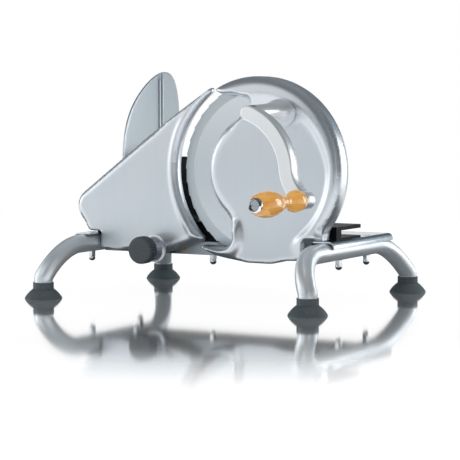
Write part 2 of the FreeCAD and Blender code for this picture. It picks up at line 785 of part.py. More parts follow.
def gear_housing():
    body = bar_y(blade_x, blade_z, housing_radius, housing_face_y, housing_back_y)
    body = body.fuse(lower_body()).fuse(rim_bead()).fuse(lower_horn_bead())
    # nothing of the round part hangs below the foot on the right
    foot_z = plate_top_z + seat_gap
    body = body.cut(block(blade_x + 60, blade_x + 130, housing_crest_y - 1, housing_back_y + 1, 0, foot_z))
    body = body.cut(horn_window()).cut(shoulder_relief()).cut(gear_cavity())
    hub = bar_y(blade_x, blade_z, axle_radius + 5, housing_inner_y - 1, gear_front_y - 0.6)
    hub = hub.fuse(bar_y(crank_x, crank_z, crank_shaft_radius + bush_wall + 3,
                         housing_inner_y - 1, housing_inner_y + 1))
    body = body.fuse(hub)
    body = body.cut(bar_y(blade_x, blade_z, axle_radius, housing_face_y + 1.5, housing_back_y + 2))
    body = body.cut(bar_y(crank_x, crank_z, crank_shaft_radius + bush_wall, housing_crest_y - 1, housing_back_y))
    for x, z in housing_boss_places():
        boss = bar_y(x, z, housing_boss_radius, housing_face_y + 2, beam_front_y)
        body = body.fuse(boss)
        body = body.cut(bar_y(x, z, housing_screw_radius, housing_face_y + 5, beam_front_y + 1))
    return body


def housing_screws():
    """Screws from behind the beam into the housing's two lower bosses."""
    screws = []
    for x, z in housing_boss_places():
        shank = bar_y(x, z, housing_screw_radius, housing_face_y + 6, beam_rear_y)
        head = bar_y(x, z, housing_screw_radius * 1.8, beam_rear_y, beam_rear_y + 3)
        screws.append(shank.fuse(head))
    return Part.makeCompound(screws)


# ---- crank
def crank_bush():
    outer = bar_y(crank_x, crank_z, crank_shaft_radius + bush_wall, housing_face_y, housing_inner_y + 1)
    return outer.cut(bar_y(crank_x, crank_z, crank_shaft_radius + running_fit, housing_face_y - 1,
                           housing_inner_y + 2))


def crank_shaft():
    return bar_y(crank_x, crank_z, crank_shaft_radius, gear_rear_y, shaft_end_y)


def crank_washer():
    ring = bar_y(crank_x, crank_z, crank_shaft_radius + bush_wall + 2,
                 housing_inner_y + 1 + slide_gap, gear_front_y)
    return ring.cut(bar_y(crank_x, crank_z, crank_shaft_radius, housing_inner_y, gear_front_y + 1))


def crank_pinion():
    gap_phase = crank_angle + 180 + 180.0 / crank_gear_teeth
    body = gear_body(crank_gear_teeth, crank_x, crank_z, gap_phase, gear_front_y, gear_rear_y)
    return body.cut(bar_y(crank_x, crank_z, crank_shaft_radius, gear_front_y - 1, gear_rear_y + 1))


def arc_centre(first, middle, last):
    """The centre of the circle through three points given as (x, z)."""
    (ax, az), (bx, bz), (cx, cz) = first, middle, last
    d = 2 * (ax * (bz - cz) + bx * (cz - az) + cx * (az - bz))
    sa, sb, sc = ax * ax + az * az, bx * bx + bz * bz, cx * cx + cz * cz
    x = (sa * (bz - cz) + sb * (cz - az) + sc * (az - bz)) / d
    z = (sa * (cx - bx) + sb * (ax - cx) + sc * (bx - ax)) / d
    return x, z


def arc_band(first, middle, last, half_width, y_from, y_to):
    """A flat bar of constant width bent along an arc."""
    centre = arc_centre(first, middle, last)
    sides = []
    for grow in (-half_width, half_width):
        points = []
        for x, z in (first, middle, last):
            dx, dz = x - centre[0], z - centre[1]
            length = math.hypot(dx, dz)
            scale = (length + grow) / length
            points.append(Vector(centre[0] + dx * scale, y_from, centre[1] + dz * scale))
        sides.append(points)
    inner, outer = sides
    wire = Part.Wire([
        Part.Arc(inner[0], inner[1], inner[2]).toShape(),
        Part.makeLine(inner[2], outer[2]),
        Part.Arc(outer[2], outer[1], outer[0]).toShape(),
        Part.makeLine(outer[0], inner[0]),
    ])
    return Part.Face(wire).extrude(Vector(0, y_to - y_from, 0))


def throw_point(share_x, share_z):
    """A point of the arm's middle line, as shares of the way from the crank axis to the grip's."""
    return crank_x + share_x * grip_offset_x, crank_z + share_z * grip_offset_z


def crank_arm():
    """The ball-shaped hub, its tapered neck and the S-shaped arm in one casting."""
    knee = throw_point(0.706, 0.610)
    upper = arc_band((crank_x, crank_z), throw_point(0.464, 0.226), knee,
                     arm_half_width, arm_front_y, arm_back_y)
    lower = arc_band(knee, throw_point(0.779, 0.815), (grip_x, grip_z),
                     arm_half_width, arm_front_y, arm_back_y)
    top_end = bar_y(crank_x, crank_z, arm_half_width, arm_front_y, arm_back_y)
    boss = bar_y(grip_x, grip_z, grip_boss_radius, arm_front_y - grip_boss_rise, arm_back_y + 1)
    hub_front = hub_ball_y - 6
    ball = Part.makeSphere(hub_ball_radius, Vector(crank_x, hub_ball_y, crank_z))
    keep = bar_y(crank_x, crank_z, hub_ball_radius + 1, housing_face_y - slide_gap * 2, hub_front)
    ball = ball.common(keep)
    ball_front_radius = math.sqrt(hub_ball_radius ** 2 - 36)
    neck = Part.makeCone(hub_neck_radius, ball_front_radius, hub_front - arm_back_y,
                         Vector(crank_x, arm_back_y, crank_z), Vector(0, 1, 0))
    body = upper.fuse(lower).fuse(top_end).fuse(boss).fuse(ball).fuse(neck)
    body = body.cut(bar_y(crank_x, crank_z, crank_shaft_radius, shaft_end_y, housing_face_y + 1))
    return body.cut(bar_y(grip_x, grip_z, spindle_radius, grip_rear_y, arm_back_y - 3))


def grip_spindle():
    """A shoulder screw fixed in the arm; its head lies in the grip's tip."""
    shank = bar_y(grip_x, grip_z, spindle_radius, grip_tip_y + 1, arm_back_y - 3.2)
    head = bar_y(grip_x, grip_z, spindle_head_radius, grip_tip_y - 2.4, grip_tip_y + 1)
    slot = block(grip_x - 6, grip_x + 6, grip_tip_y - 3, grip_tip_y - 1.4, grip_z - 0.7, grip_z + 0.7)
    return shank.fuse(head).cut(slot)


def wooden_grip():
    """A turned handle with a big bulge at the tip, a waist and a small bulge by the arm."""
    length = grip_length
    tip = grip_tip_y
    profile = [
        (ring_radius, tip), (10.9, tip + length * 0.08), (grip_big_radius, tip + length * 0.24),
        (11.6, tip + length * 0.37), (8.6, tip + length * 0.5), (grip_waist_radius, tip + length * 0.63),
        (8.4, tip + length * 0.74), (grip_small_radius, tip + length * 0.87), (8.8, tip + length),
    ]
    curve = Part.BSplineCurve()
    curve.interpolate([Vector(grip_x + r, y, grip_z) for r, y in profile])
    hole = spindle_radius + running_fit
    inside = [(8.8, tip + length), (hole, tip + length), (hole, tip + 1.3), (ring_inner(), tip + 1.3),
              (ring_inner(), tip), (ring_radius, tip)]
    points = [Vector(grip_x + r, y, grip_z) for r, y in inside]
    edges = [curve.toShape()]
    edges += [Part.makeLine(points[i], points[i + 1]) for i in range(len(points) - 1)]
    return Part.Face(Part.Wire(edges)).revolve(Vector(grip_x, 0, grip_z), Vector(0, 1, 0), 360)


def ring_inner():
    return spindle_head_radius + 0.4


def grip_ring():
    """The bright ring at the grip's tip, round the spindle's head."""
    front = ring_front_y
    ring = turned([
        ((ring_inner(), grip_tip_y), (ring_radius, grip_tip_y)),
        ((ring_radius, grip_tip_y), (ring_radius - 0.1, (front + grip_tip_y) / 2), (ring_radius - 1.2, front)),
        ((ring_radius - 1.2, front), (ring_inner(), front)),
        ((ring_inner(), front), (ring_inner(), grip_tip_y)),
    ], grip_x, grip_z)
    return ring


# ---- gauge
def gauge_plate():
    """A cast plate whose right edge follows the blade; it slides forward to set the slice."""
    left_x = left_wing_inner_x + gauge_side_clearance
    low_left_z = plate_top_z + gauge_bottom_clearance
    left_foot_x = blade_x - gauge_left_reach
    edge_radius = blade_radius + gauge_gap
    # from the tip over the top edge to the left corner
    corners = polar_corners(edge_radius, [(123.5, 4.9, 0), (163.9, 38.4, 600), (189.2, 140.4, 25)])
    # the lower edge from the tube's notch to the curved edge, from the blade's axis and the tubes' middle
    lower = [(-166.4, -8.3, 60), (-133.0, -13.3, 24), (-103.7, -4.1, 80), (-66.0, 9.9, 0)]
    corners += [(left_foot_x, low_left_z, 4), (left_x, low_left_z, 0), (left_x, gauge_notch_z, 3)]
    corners += [(blade_x + dx, tube_run_z + dz, radius) for dx, dz, radius in lower]
    corners += polar_corners(edge_radius, [(180.0, -95.0, 0), (118.9, -4.7, 0)])
    plate = plate_from(corners, gauge_front_y, blade_face_y)
    plate = plate.cut(bar_y(blade_x, blade_z, edge_radius, gauge_front_y - 1, blade_face_y + 1))
    # a short tip: the sharp corner between the top edge and the curve is rounded off
    tip_x = blade_x + edge_radius * math.cos(math.radians(gauge_tip_angle))
    plate = plate.cut(block(tip_x, blade_x, gauge_front_y - 1, blade_face_y + 1,
                            blade_z, blade_z + edge_radius * 2))
    front_edges = []
    for edge in plate.Edges:
        box = edge.BoundBox
        on_front = box.YMax < gauge_front_y + 0.01
        if on_front and edge.Length > 12 and box.ZMax > low_left_z + 2:
            front_edges.append(edge)
    plate = plate.makeFillet(gauge_edge_round, front_edges)
    boss = bar_y(gauge_screw_x, gauge_screw_z, gauge_boss_radius, gauge_boss_front_y, gauge_front_y + 2)
    plate = plate.fuse(boss)
    plate = plate.cut(bar_y(gauge_screw_x, gauge_screw_z, gauge_screw_radius + running_fit,
                            gauge_boss_front_y - 1, blade_face_y + 1))
    for x in (rod_left_x, rod_right_x):
        plate = plate.cut(bar_y(x, rod_z, rod_radius, gauge_front_y + 4, blade_face_y + 1))
    return plate


def guide_rods():
    return Part.makeCompound([bar_y(x, rod_z, rod_radius, gauge_front_y + 4, rod_rear_y)
                              for x in (rod_left_x, rod_right_x)])


def guide_bushes():
    bushes = []
    for x in (rod_left_x, rod_right_x):
        outer = bar_y(x, rod_z, rod_radius + bush_wall, beam_front_y, beam_rear_y)
        flange = bar_y(x, rod_z, rod_radius + bush_wall + 2, beam_front_y - 1.5, beam_front_y)
        bore = bar_y(x, rod_z, rod_radius + running_fit, beam_front_y - 3, beam_rear_y + 1)
        bushes.append(outer.fuse(flange).cut(bore))
    return Part.makeCompound(bushes)


def gauge_nut():
    x = gauge_screw_x
    z = gauge_screw_z
    outer = bar_y(x, z, gauge_screw_radius + bush_wall, beam_front_y, beam_rear_y)
    flange = bar_y(x, z, gauge_screw_radius + bush_wall + 2, beam_front_y - 1.5, beam_front_y)
    bore = bar_y(x, z, gauge_screw_radius + running_fit, beam_front_y - 3, beam_rear_y + 1)
    return outer.fuse(flange).cut(bore)


def gauge_screw():
    """The steep-threaded screw that carries the knob and draws the gauge plate."""
    return bar_y(gauge_screw_x, gauge_screw_z, gauge_screw_radius, knob_front_y + 3, rod_rear_y)


def screw_collar():
    """A ring on the screw, behind the plate, that makes the plate follow it."""
    ring = bar_y(gauge_screw_x, gauge_screw_z, gauge_screw_radius + 3, blade_face_y + slide_gap,
                 blade_face_y + slide_gap + 2.5)
    return ring.cut(bar_y(gauge_screw_x, gauge_screw_z, gauge_screw_radius, blade_face_y, blade_face_y + 5))


def thickness_knob():
    rear = gauge_boss_front_y - knob_gap
    knob = bar_y(gauge_screw_x, gauge_screw_z, knob_radius, knob_front_y, rear)
    knob = knob.makeFillet(1.2, [e for e in knob.Edges if e.BoundBox.YLength < 0.01])
    groove_reach = knob_radius + 0.35
    for i in range(knob_ribs):
        a = 2 * math.pi * i / knob_ribs
        x = gauge_screw_x + groove_reach * math.cos(a)
        z = gauge_screw_z + groove_reach * math.sin(a)
        knob = knob.cut(bar_y(x, z, 0.8, knob_front_y + 1.4, rear + 1))
    return knob.cut(bar_y(gauge_screw_x, gauge_screw_z, gauge_screw_radius, knob_front_y + 3, rear + 1))


# ---- carriage
def carriage_tray():
    """The moulded table that the food lies on, over the rail."""
    tray = block(tray_left_x, tray_right_x, tray_front_y, tray_rear_y, tray_bottom_z, tray_top_z)
    skirt = block(tray_left_x, tray_right_x, tray_rear_y - 3, tray_rear_y, plate_top_z + 3, tray_bottom_z)
    tray = tray.fuse(skirt)
    groove = block(groove_x - groove_width / 2, groove_x + groove_width / 2, tray_front_y + 3, tray_rear_y - 3,
                   tray_top_z - groove_depth, tray_top_z + 1)
    tray = tray.cut(groove)
    for x, y in wall_screw_places():
        tray = tray.cut(bar_z(x, y, wall_screw_radius, tray_bottom_z + 0.5, tray_top_z + 1))
    return tray


def wall_screw_places():
    return [(wall_x + wall_flange * 0.55, y) for y in (-14.0, 56.0)]


def carriage_wall():
    """The leaf-shaped upright wall that pushes the food along."""
    low = tray_top_z
    front = wall_front_y
    rear = wall_rear_y
    top = wall_top_z
    peak = wall_peak_y
    outline = [
        (front, low), (front + 4, low + 68), (front + 13, low + 110), (peak - 40.5, top - 13.7),
        (peak - 18.5, top - 5.5), (peak, top), (peak + 15.5, top - 4.5), (rear - 4, top - 19),
        (rear, top - 42), (rear, low),
    ]
    points = [Vector(tray_left_x, y, z) for y, z in outline]
    leaf = Part.BSplineCurve()
    leaf.interpolate(points[:-1])
    edges = [leaf.toShape(), Part.makeLine(points[-2], points[-1]), Part.makeLine(points[-1], points[0])]
    wall = Part.Face(Part.Wire(edges)).extrude(Vector(wall_thickness, 0, 0))
    flange = block(tray_left_x, wall_x + wall_flange, front + 2, rear - 2, low, low + wall_thickness)
    wall = wall.fuse(flange)
    for x, y in wall_screw_places():
        wall = wall.cut(bar_z(x, y, wall_screw_radius + hole_clearance, low - 1, low + 5))
    bead = bar_z(wall_x, wall_bead_y, wall_bead_radius, low + 8, top - 4)
    return wall.fuse(bead)


def wall_screws():
    screws = []
    for x, y in wall_screw_places():
        top = tray_top_z + wall_thickness
        head = bar_z(x, y, wall_screw_radius * 1.8, top, top + wall_screw_head_height)
        shank = bar_z(x, y, wall_screw_radius, tray_bottom_z + 0.5, top)
        screws.append(head.fuse(shank))
    return Part.makeCompound(screws)


def slide_shoe():
    """The hook that runs round the rail's rear edge and holds the carriage down."""
    flange_rear = rail_front_y + rail_depth
    top_inner = rail_top_z - rail_top_thickness - slide_gap
    bottom = plate_top_z + rail_bottom_thickness + slide_gap
    shoe = block(tray_left_x + 4, tray_right_x - 4, flange_rear + slide_gap,
                 flange_rear + slide_gap + shoe_depth, bottom, tray_bottom_z)
    hook = block(tray_left_x + 4, tray_right_x - 4, flange_rear - 8, flange_rear + slide_gap + shoe_depth,
                 bottom, top_inner)
    return shoe.fuse(hook)


def rear_runner():
    """The low foot under the tray's rear side."""
    return block(tray_left_x + 4, tray_right_x - 4, runner_y - runner_width, runner_y,
                 plate_top_z + slide_gap, tray_bottom_z)


def food_pusher():
    """The upright plate that holds the food against the gauge, with a tongue in the tray."""
    low = tray_top_z + slide_gap
    left = wall_x + wall_bead_radius + slide_gap
    # the plate clears the screws in the wall's flange
    plate_low = low + wall_thickness + wall_screw_head_height
    corners = [
        (left, plate_low, 2), (left, pusher_top_z, 6), (pusher_right_x, pusher_top_z, 6),
        (pusher_right_x, plate_low, 2),
    ]
    rear = pusher_front_y + pusher_thickness
    plate = plate_from(corners, pusher_front_y, rear)
    foot_left = wall_x + wall_flange + slide_gap
    plate = plate.fuse(block(foot_left, pusher_right_x - 2, pusher_front_y, rear + 14, low, plate_low + 3))
    tongue = block(groove_x - groove_width / 2 + slide_gap, groove_x + groove_width / 2 - slide_gap,
                   pusher_front_y, rear + 14, tray_top_z - groove_depth + slide_gap, low + 1)
    plate = plate.fuse(tongue)
    for x in (-88, -66, -44, -22):
        for z in (104, 120, 136):
            plate = plate.fuse(Part.makeCone(spike_radius, 0.2, spike_length, Vector(x, pusher_front_y, z),
                                             Vector(0, -1, 0)))
    return plate


def pusher_grip():
    """The hand grip on the back of the pusher."""
    rear = pusher_front_y + pusher_thickness
    middle = (wall_x + pusher_right_x) / 2 + 4
    stem = plate_from(upright(middle, 9, 112, 136, 4), rear, rear + 26)
    pad = plate_from(upright(middle, 24, 104, 144, 12), rear + 26, rear + 34)
    return stem.fuse(pad)


def upright(middle, half_width, low, high, rounding):
    """The corners of a rounded upright rectangle."""
    return [(middle - half_width, low, rounding), (middle - half_width, high, rounding),
            (middle + half_width, high, rounding), (middle + half_width, low, rounding)]


def build():
    os.makedirs("parts", exist_ok=True)
    save(bent_tube(-1), "tube_left")
    save(bent_tube(1), "tube_right")
    for front_rear, side_y in (("front", -1), ("rear", 1)):
        for left_right, side_x in (("left", -1), ("right", 1)):
            save(rubber_foot(side_x, side_y), "foot_%s_%s" % (front_rear, left_right))
    save(base_plate(), "base_plate")
    save(front_beam(), "front_beam")
    save(rear_beam(), "rear_beam")
    save(frame_screws(), "frame_screws")
    save(rail_screws(), "rail_screws")
    save(cap_nuts(), "cap_nuts")
    save(slide_rail(), "slide_rail")
    save(gear_housing(), "gear_housing")
    save(housing_screws(), "housing_screws")
    save(blade_axle(), "blade_axle")
    save(axle_cap(), "axle_cap")
    save(blade_gear(), "blade_gear")
    save(blade_bush(), "blade_bush")
    save(blade(), "blade")
    save(blade_screws(), "blade_screws")
    save(crank_bush(), "crank_bush")
    save(crank_shaft(), "crank_shaft")
    save(crank_washer(), "crank_washer")
    save(crank_pinion(), "crank_pinion")
    save(crank_arm(), "crank_arm")
    save(grip_spindle(), "grip_spindle")
    save(wooden_grip(), "wooden_grip")
    save(grip_ring(), "grip_ring")
    save(gauge_plate(), "gauge_plate")
    save(guide_rods(), "guide_rods")
    save(guide_bushes(), "guide_bushes")
    save(gauge_nut(), "gauge_nut")
    save(gauge_screw(), "gauge_screw")
    save(screw_collar(), "screw_collar")
    save(thickness_knob(), "thickness_knob")
    save(carriage_tray(), "carriage_tray")
    save(carriage_wall(), "carriage_wall")
    save(wall_screws(), "wall_screws")
    save(slide_shoe(), "slide_shoe")
    save(rear_runner(), "rear_runner")
    save(food_pusher(), "food_pusher")
    save(pusher_grip(), "pusher_grip")


build()
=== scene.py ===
import math
import bpy
import bmesh
import numpy as np
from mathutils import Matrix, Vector, geometry


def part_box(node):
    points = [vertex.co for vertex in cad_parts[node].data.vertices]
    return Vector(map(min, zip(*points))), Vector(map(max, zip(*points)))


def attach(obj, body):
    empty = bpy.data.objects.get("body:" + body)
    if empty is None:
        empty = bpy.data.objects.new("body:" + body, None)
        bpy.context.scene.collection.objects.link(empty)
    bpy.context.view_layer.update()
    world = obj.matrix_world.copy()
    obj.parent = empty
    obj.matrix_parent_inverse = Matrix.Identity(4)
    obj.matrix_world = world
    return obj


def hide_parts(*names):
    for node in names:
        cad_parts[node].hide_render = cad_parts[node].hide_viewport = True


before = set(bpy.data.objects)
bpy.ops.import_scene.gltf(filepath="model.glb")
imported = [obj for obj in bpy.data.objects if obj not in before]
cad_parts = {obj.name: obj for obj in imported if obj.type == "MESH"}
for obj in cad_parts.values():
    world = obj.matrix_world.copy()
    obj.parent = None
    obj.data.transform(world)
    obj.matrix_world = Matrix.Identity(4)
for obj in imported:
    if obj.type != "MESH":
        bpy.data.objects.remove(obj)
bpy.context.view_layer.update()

print("frame loaded:", len(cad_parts), "nodes")

mm = 0.001


def middleOf(node):
    # x, y and z of the middle of a solid's box, in millimetres to two places
    low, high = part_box(node)
    return [round((a + b) / 2 / mm, 2) for a, b in zip(low, high)]


# lengths along Y count from the middle of the feet, which lies this far behind the frame's origin
yShift = round((middleOf("foot_front_left")[1] + middleOf("foot_rear_left")[1]) / 2, 2)
bladeAxis = middleOf("blade")[::2]     # x and z


def at(x, y, z):
    return Vector((x * mm, (y + yShift) * mm, z * mm))


def polar(angle, radius):
    # a place round the blade's axle, x and z
    a = math.radians(angle)
    return bladeAxis[0] + radius * math.cos(a), bladeAxis[1] + radius * math.sin(a)


# shader nodes
def newMaterial(name):
    material = bpy.data.materials.new(name)
    material.use_nodes = True
    tree = material.node_tree
    return material, tree, tree.nodes["Principled BSDF"]


def addNode(tree, kind, **inputs):
    node = tree.nodes.new(kind)
    for key, value in inputs.items():
        node.inputs[key].default_value = value
    return node


def objectSpace(tree, scale=(1, 1, 1)):
    coords = tree.nodes.new("ShaderNodeTexCoord")
    mapping = addNode(tree, "ShaderNodeMapping", Scale=scale)
    tree.links.new(coords.outputs["Object"], mapping.inputs["Vector"])
    return mapping.outputs["Vector"]


def noiseOf(tree, vector, scale, detail=2.0, roughness=0.55):
    noise = addNode(tree, "ShaderNodeTexNoise", Scale=scale, Detail=detail, Roughness=roughness)
    tree.links.new(vector, noise.inputs["Vector"])
    return noise.outputs["Fac"]


def rampOf(tree, factor, low, high, lowAt=0.3, highAt=0.7):
    ramp = tree.nodes.new("ShaderNodeValToRGB")
    ramp.color_ramp.elements[0].position = lowAt
    ramp.color_ramp.elements[1].position = highAt
    ramp.color_ramp.elements[0].color = (*low, 1)
    ramp.color_ramp.elements[1].color = (*high, 1)
    tree.links.new(factor, ramp.inputs["Fac"])
    return ramp.outputs["Color"]


def rangeOf(tree, value, low, high, start=0.0, end=1.0, kind="LINEAR"):
    # low where the value is at its start, high where it is at its end
    spread = tree.nodes.new("ShaderNodeMapRange")
    spread.interpolation_type = kind
    for key, number in (("From Min", start), ("From Max", end), ("To Min", low), ("To Max", high)):
        spread.inputs[key].default_value = number
    tree.links.new(value, spread.inputs["Value"])
    return spread.outputs["Result"]


def mathOf(tree, operation, first, second):
    # second is another output or a plain number
    node = tree.nodes.new("ShaderNodeMath")
    node.operation = operation
    tree.links.new(first, node.inputs[0])
    if isinstance(second, float):
        node.inputs[1].default_value = second
    else:
        tree.links.new(second, node.inputs[1])
    return node.outputs[0]


def vectorOf(tree, operation, vector, fixed=None):
    node = tree.nodes.new("ShaderNodeVectorMath")
    node.operation = operation
    tree.links.new(vector, node.inputs[0])
    if fixed is not None:
        node.inputs[1].default_value = fixed
    return node.outputs["Value" if operation == "LENGTH" else "Vector"]


def mixOf(tree, share, first, second):
    # the first shader where the share is 0, the second where it is 1
    mix = tree.nodes.new("ShaderNodeMixShader")
    for place, output in enumerate((share, first.outputs[0], second.outputs[0])):
        tree.links.new(output, mix.inputs[place])
    return mix


def bumpOf(tree, shader, height, strength, distance):
    bump = addNode(tree, "ShaderNodeBump", Strength=strength, Distance=distance)
    tree.links.new(height, bump.inputs["Height"])
    tree.links.new(bump.outputs["Normal"], shader.inputs["Normal"])


# materials
brushing = {
    "clouds": 11.0, "lines": 320.0,     # scales of the cloudy tone and of the fine lines
    "cloudShare": (-0.1, 0.7), "lineShare": (0.0, 0.4),     # what each adds to the tone
    "span": (0.2, 0.8),     # of the tone, from the darker to the paler colour
    "relief": 0.05, "depth": 0.000004, "unevenness": 0.015,
}


def brushedMetal(name, low, high, roughness, grain=(1, 1, 1), metal=1.0):
    # satin metal: clouds in tone and roughness, with fine lines along the brushing
    material, tree, shader = newMaterial(name)
    shader.inputs["Metallic"].default_value = metal
    clouds = noiseOf(tree, objectSpace(tree), brushing["clouds"])
    lines = noiseOf(tree, objectSpace(tree, grain), brushing["lines"])
    cloudy = rangeOf(tree, clouds, *brushing["cloudShare"])
    tone = mathOf(tree, "ADD", cloudy, rangeOf(tree, lines, *brushing["lineShare"]))
    tree.links.new(rampOf(tree, tone, low, high, *brushing["span"]), shader.inputs["Base Color"])
    spread = brushing["unevenness"]
    tree.links.new(rangeOf(tree, clouds, roughness - spread, roughness + spread), shader.inputs["Roughness"])
    bumpOf(tree, shader, lines, brushing["relief"], brushing["depth"])
    return material


castSatin = brushedMetal("castSatin", (0.64, 0.685, 0.73), (0.69, 0.73, 0.77), 0.34, (1, 1, 0.04), 0.9)
# painted light: the crank's cast aluminium is a paler copy of castSatin, so the arm, hub and seat stand
# brighter than the housing where both reflect the same surroundings
paintedBrightArmSatin = brushedMetal("paintedBrightArmSatin", (0.87, 0.90, 0.92), (0.91, 0.935, 0.95), 0.34, (1, 1, 0.3), 0.8)
tubeSatin = brushedMetal("tubeSatin", (0.74, 0.79, 0.83), (0.80, 0.85, 0.88), 0.38, (1, 0.1, 1), 0.7)
plateSatin = brushedMetal("plateSatin", (0.70, 0.75, 0.79), (0.76, 0.81, 0.85), 0.20, (0.08, 1, 1))
beamSatin = brushedMetal("beamSatin", (0.30, 0.34, 0.37), (0.38, 0.42, 0.45), 0.36, (0.1, 1, 1))
wallSatin = brushedMetal("wallSatin", (0.59, 0.635, 0.67), (0.65, 0.69, 0.72), 0.36, (1, 1, 0.06))
brightChrome = brushedMetal("brightChrome", (0.74, 0.76, 0.78), (0.80, 0.82, 0.84), 0.09)
turnedSteel = brushedMetal("turnedSteel", (0.48, 0.50, 0.52), (0.56, 0.58, 0.60), 0.26, (1, 0.05, 1))
bearingBronze = brushedMetal("bearingBronze", (0.40, 0.25, 0.11), (0.50, 0.33, 0.16), 0.34, (1, 0.1, 1))

plasticGrain = {"detail": 4.0, "depth": 0.00006, "smoother": 0.06, "rougher": 0.08}


def mouldedPlastic(name, low, high, roughness, scale=700.0, relief=0.3, gloss=0.5):
    # moulded plastic or rubber with a fine even grain
    material, tree, shader = newMaterial(name)
    grains = noiseOf(tree, objectSpace(tree), scale, plasticGrain["detail"])
    tree.links.new(rampOf(tree, grains, low, high), shader.inputs["Base Color"])
    smooth, rough = roughness - plasticGrain["smoother"], roughness + plasticGrain["rougher"]
    tree.links.new(rangeOf(tree, grains, smooth, rough), shader.inputs["Roughness"])
    bumpOf(tree, shader, grains, relief, plasticGrain["depth"])
    shader.inputs["Specular IOR Level"].default_value = gloss
    return material


footRubber = mouldedPlastic("footRubber", (0.048, 0.068, 0.078), (0.082, 0.106, 0.118), 0.52)
knobBlack = mouldedPlastic("knobBlack", (0.042, 0.052, 0.062), (0.072, 0.086, 0.098), 0.48)
trayBlack = mouldedPlastic("trayBlack", (0.012, 0.016, 0.019), (0.028, 0.034, 0.038), 0.42)
railBlack = mouldedPlastic("railBlack", (0.004, 0.006, 0.008), (0.010, 0.013, 0.016), 0.34,
                           scale=1100.0, relief=0.15, gloss=0.04)
gearPlastic = mouldedPlastic("gearPlastic", (0.55, 0.54, 0.48), (0.64, 0.63, 0.57), 0.45)

bladeFinish = {
    "bandFrom": 0.0838, "bandTo": 0.0846,     # metres from the axle, between these the ground band begins
    "discTint": (0.70, 0.745, 0.775), "bandTint": (0.46, 0.51, 0.54), "span": (0.1, 0.9),
    "discRoughness": 0.26, "bandRoughness": 0.38,
    "rings": 900.0, "waver": 1.5, "relief": 0.03, "depth": 0.000004,
}


def groundSteel(name):
    # the disc is polished in rings, its outer band is ground duller
    material, tree, shader = newMaterial(name)
    shader.inputs["Metallic"].default_value = 1.0
    look = bladeFinish
    coords = tree.nodes.new("ShaderNodeTexCoord")
    fromAxle = vectorOf(tree, "SUBTRACT", coords.outputs["Object"], at(bladeAxis[0], 0, bladeAxis[1]))
    radius = vectorOf(tree, "LENGTH", vectorOf(tree, "MULTIPLY", fromAxle, (1, 0, 1)))
    band = rangeOf(tree, radius, 0.0, 1.0, look["bandFrom"], look["bandTo"])
    tint = rampOf(tree, band, look["discTint"], look["bandTint"], *look["span"])
    tree.links.new(tint, shader.inputs["Base Color"])
    dull = rangeOf(tree, band, look["discRoughness"], look["bandRoughness"])
    tree.links.new(dull, shader.inputs["Roughness"])
    rings = addNode(tree, "ShaderNodeTexWave", Scale=look["rings"], Distortion=look["waver"])
    rings.wave_type = "RINGS"
    rings.rings_direction = "Y"
    tree.links.new(fromAxle, rings.inputs["Vector"])
    bumpOf(tree, shader, rings.outputs["Fac"], look["relief"], look["depth"])
    return material


bladeSteel = groundSteel("bladeSteel")

woodFinish = {
    "dark": (0.78, 0.33, 0.055), "pale": (1.0, 0.58, 0.15), "roughness": 0.34, "gloss": 0.1, "lacquer": 0.04,
    "grain": 420.0, "grainDetail": 5.0, "grainRoughness": 0.6, "grainStretch": (1, 0.07, 1),
    "patches": 60.0, "patchStretch": (1, 0.4, 1),
    "grainShare": (-0.1, 0.7), "patchShare": (-0.15, 0.5), "span": (0.25, 0.8),
    "relief": 0.08, "depth": 0.00003,
}


def lacqueredWood(name):
    # turned beech under a clear lacquer: long grain along Y, warm and cool patches, gloss coat
    material, tree, shader = newMaterial(name)
    look = woodFinish
    along = objectSpace(tree, look["grainStretch"])
    grain = noiseOf(tree, along, look["grain"], look["grainDetail"], look["grainRoughness"])
    patches = noiseOf(tree, objectSpace(tree, look["patchStretch"]), look["patches"])
    grained = rangeOf(tree, grain, *look["grainShare"])
    tone = mathOf(tree, "ADD", grained, rangeOf(tree, patches, *look["patchShare"]))
    tint = rampOf(tree, tone, look["dark"], look["pale"], *look["span"])
    tree.links.new(tint, shader.inputs["Base Color"])
    shader.inputs["Roughness"].default_value = look["roughness"]
    shader.inputs["Specular IOR Level"].default_value = look["gloss"]
    shader.inputs["Coat Weight"].default_value = 1.0
    shader.inputs["Coat Roughness"].default_value = look["lacquer"]
    bumpOf(tree, shader, grain, look["relief"], look["depth"])
    return material


gripWood = lacqueredWood("gripWood")

nodeMaterials = {
    "tube_satin": tubeSatin, "foot_rubber": footRubber, "plate_satin": plateSatin, "beam_satin": beamSatin,
    "fastener_chrome": brightChrome, "fastener_steel": turnedSteel, "rail_black": railBlack,
    "cast_aluminium": castSatin, "blade_steel": bladeSteel, "gear_plastic": gearPlastic,
    "bush_bronze": bearingBronze, "axle_steel": turnedSteel, "knob_black": knobBlack,
    "tray_black": trayBlack, "wall_satin": wallSatin, "grip_wood": gripWood,
}


def dressNodes():
    # every solid carried over gets the finish of its slot in the record
    slots = {}
    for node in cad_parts.values():
        for holder in node.material_slots:
            key = holder.material.name.split(".")[0] if holder.material else "none"
            slots[key] = slots.get(key, 0) + 1
            if key in nodeMaterials:
                holder.material = nodeMaterials[key]
    print("slots:", slots)


dressNodes()

# outlines and surfaces, shared by the castings, the wall and the turned pieces
far, tiny = 1e9, 1e-12
sameSpot = 1e-6     # metres, points this near to each other become one
sideShare = 0.48     # no rounding takes more than this share of a corner's side
rowHeight = 0.866     # of an even triangle whose sides are 1
casting = {
    "step": 1.0, "coarse": 4.0,     # between points along an outline and in the middle of a face
    "blend": 1.2,                   # how softly two rolls run into each other
    "relaxings": 6,
    "wallRows": 3,                  # rows of faces between the front's rim and the back
}


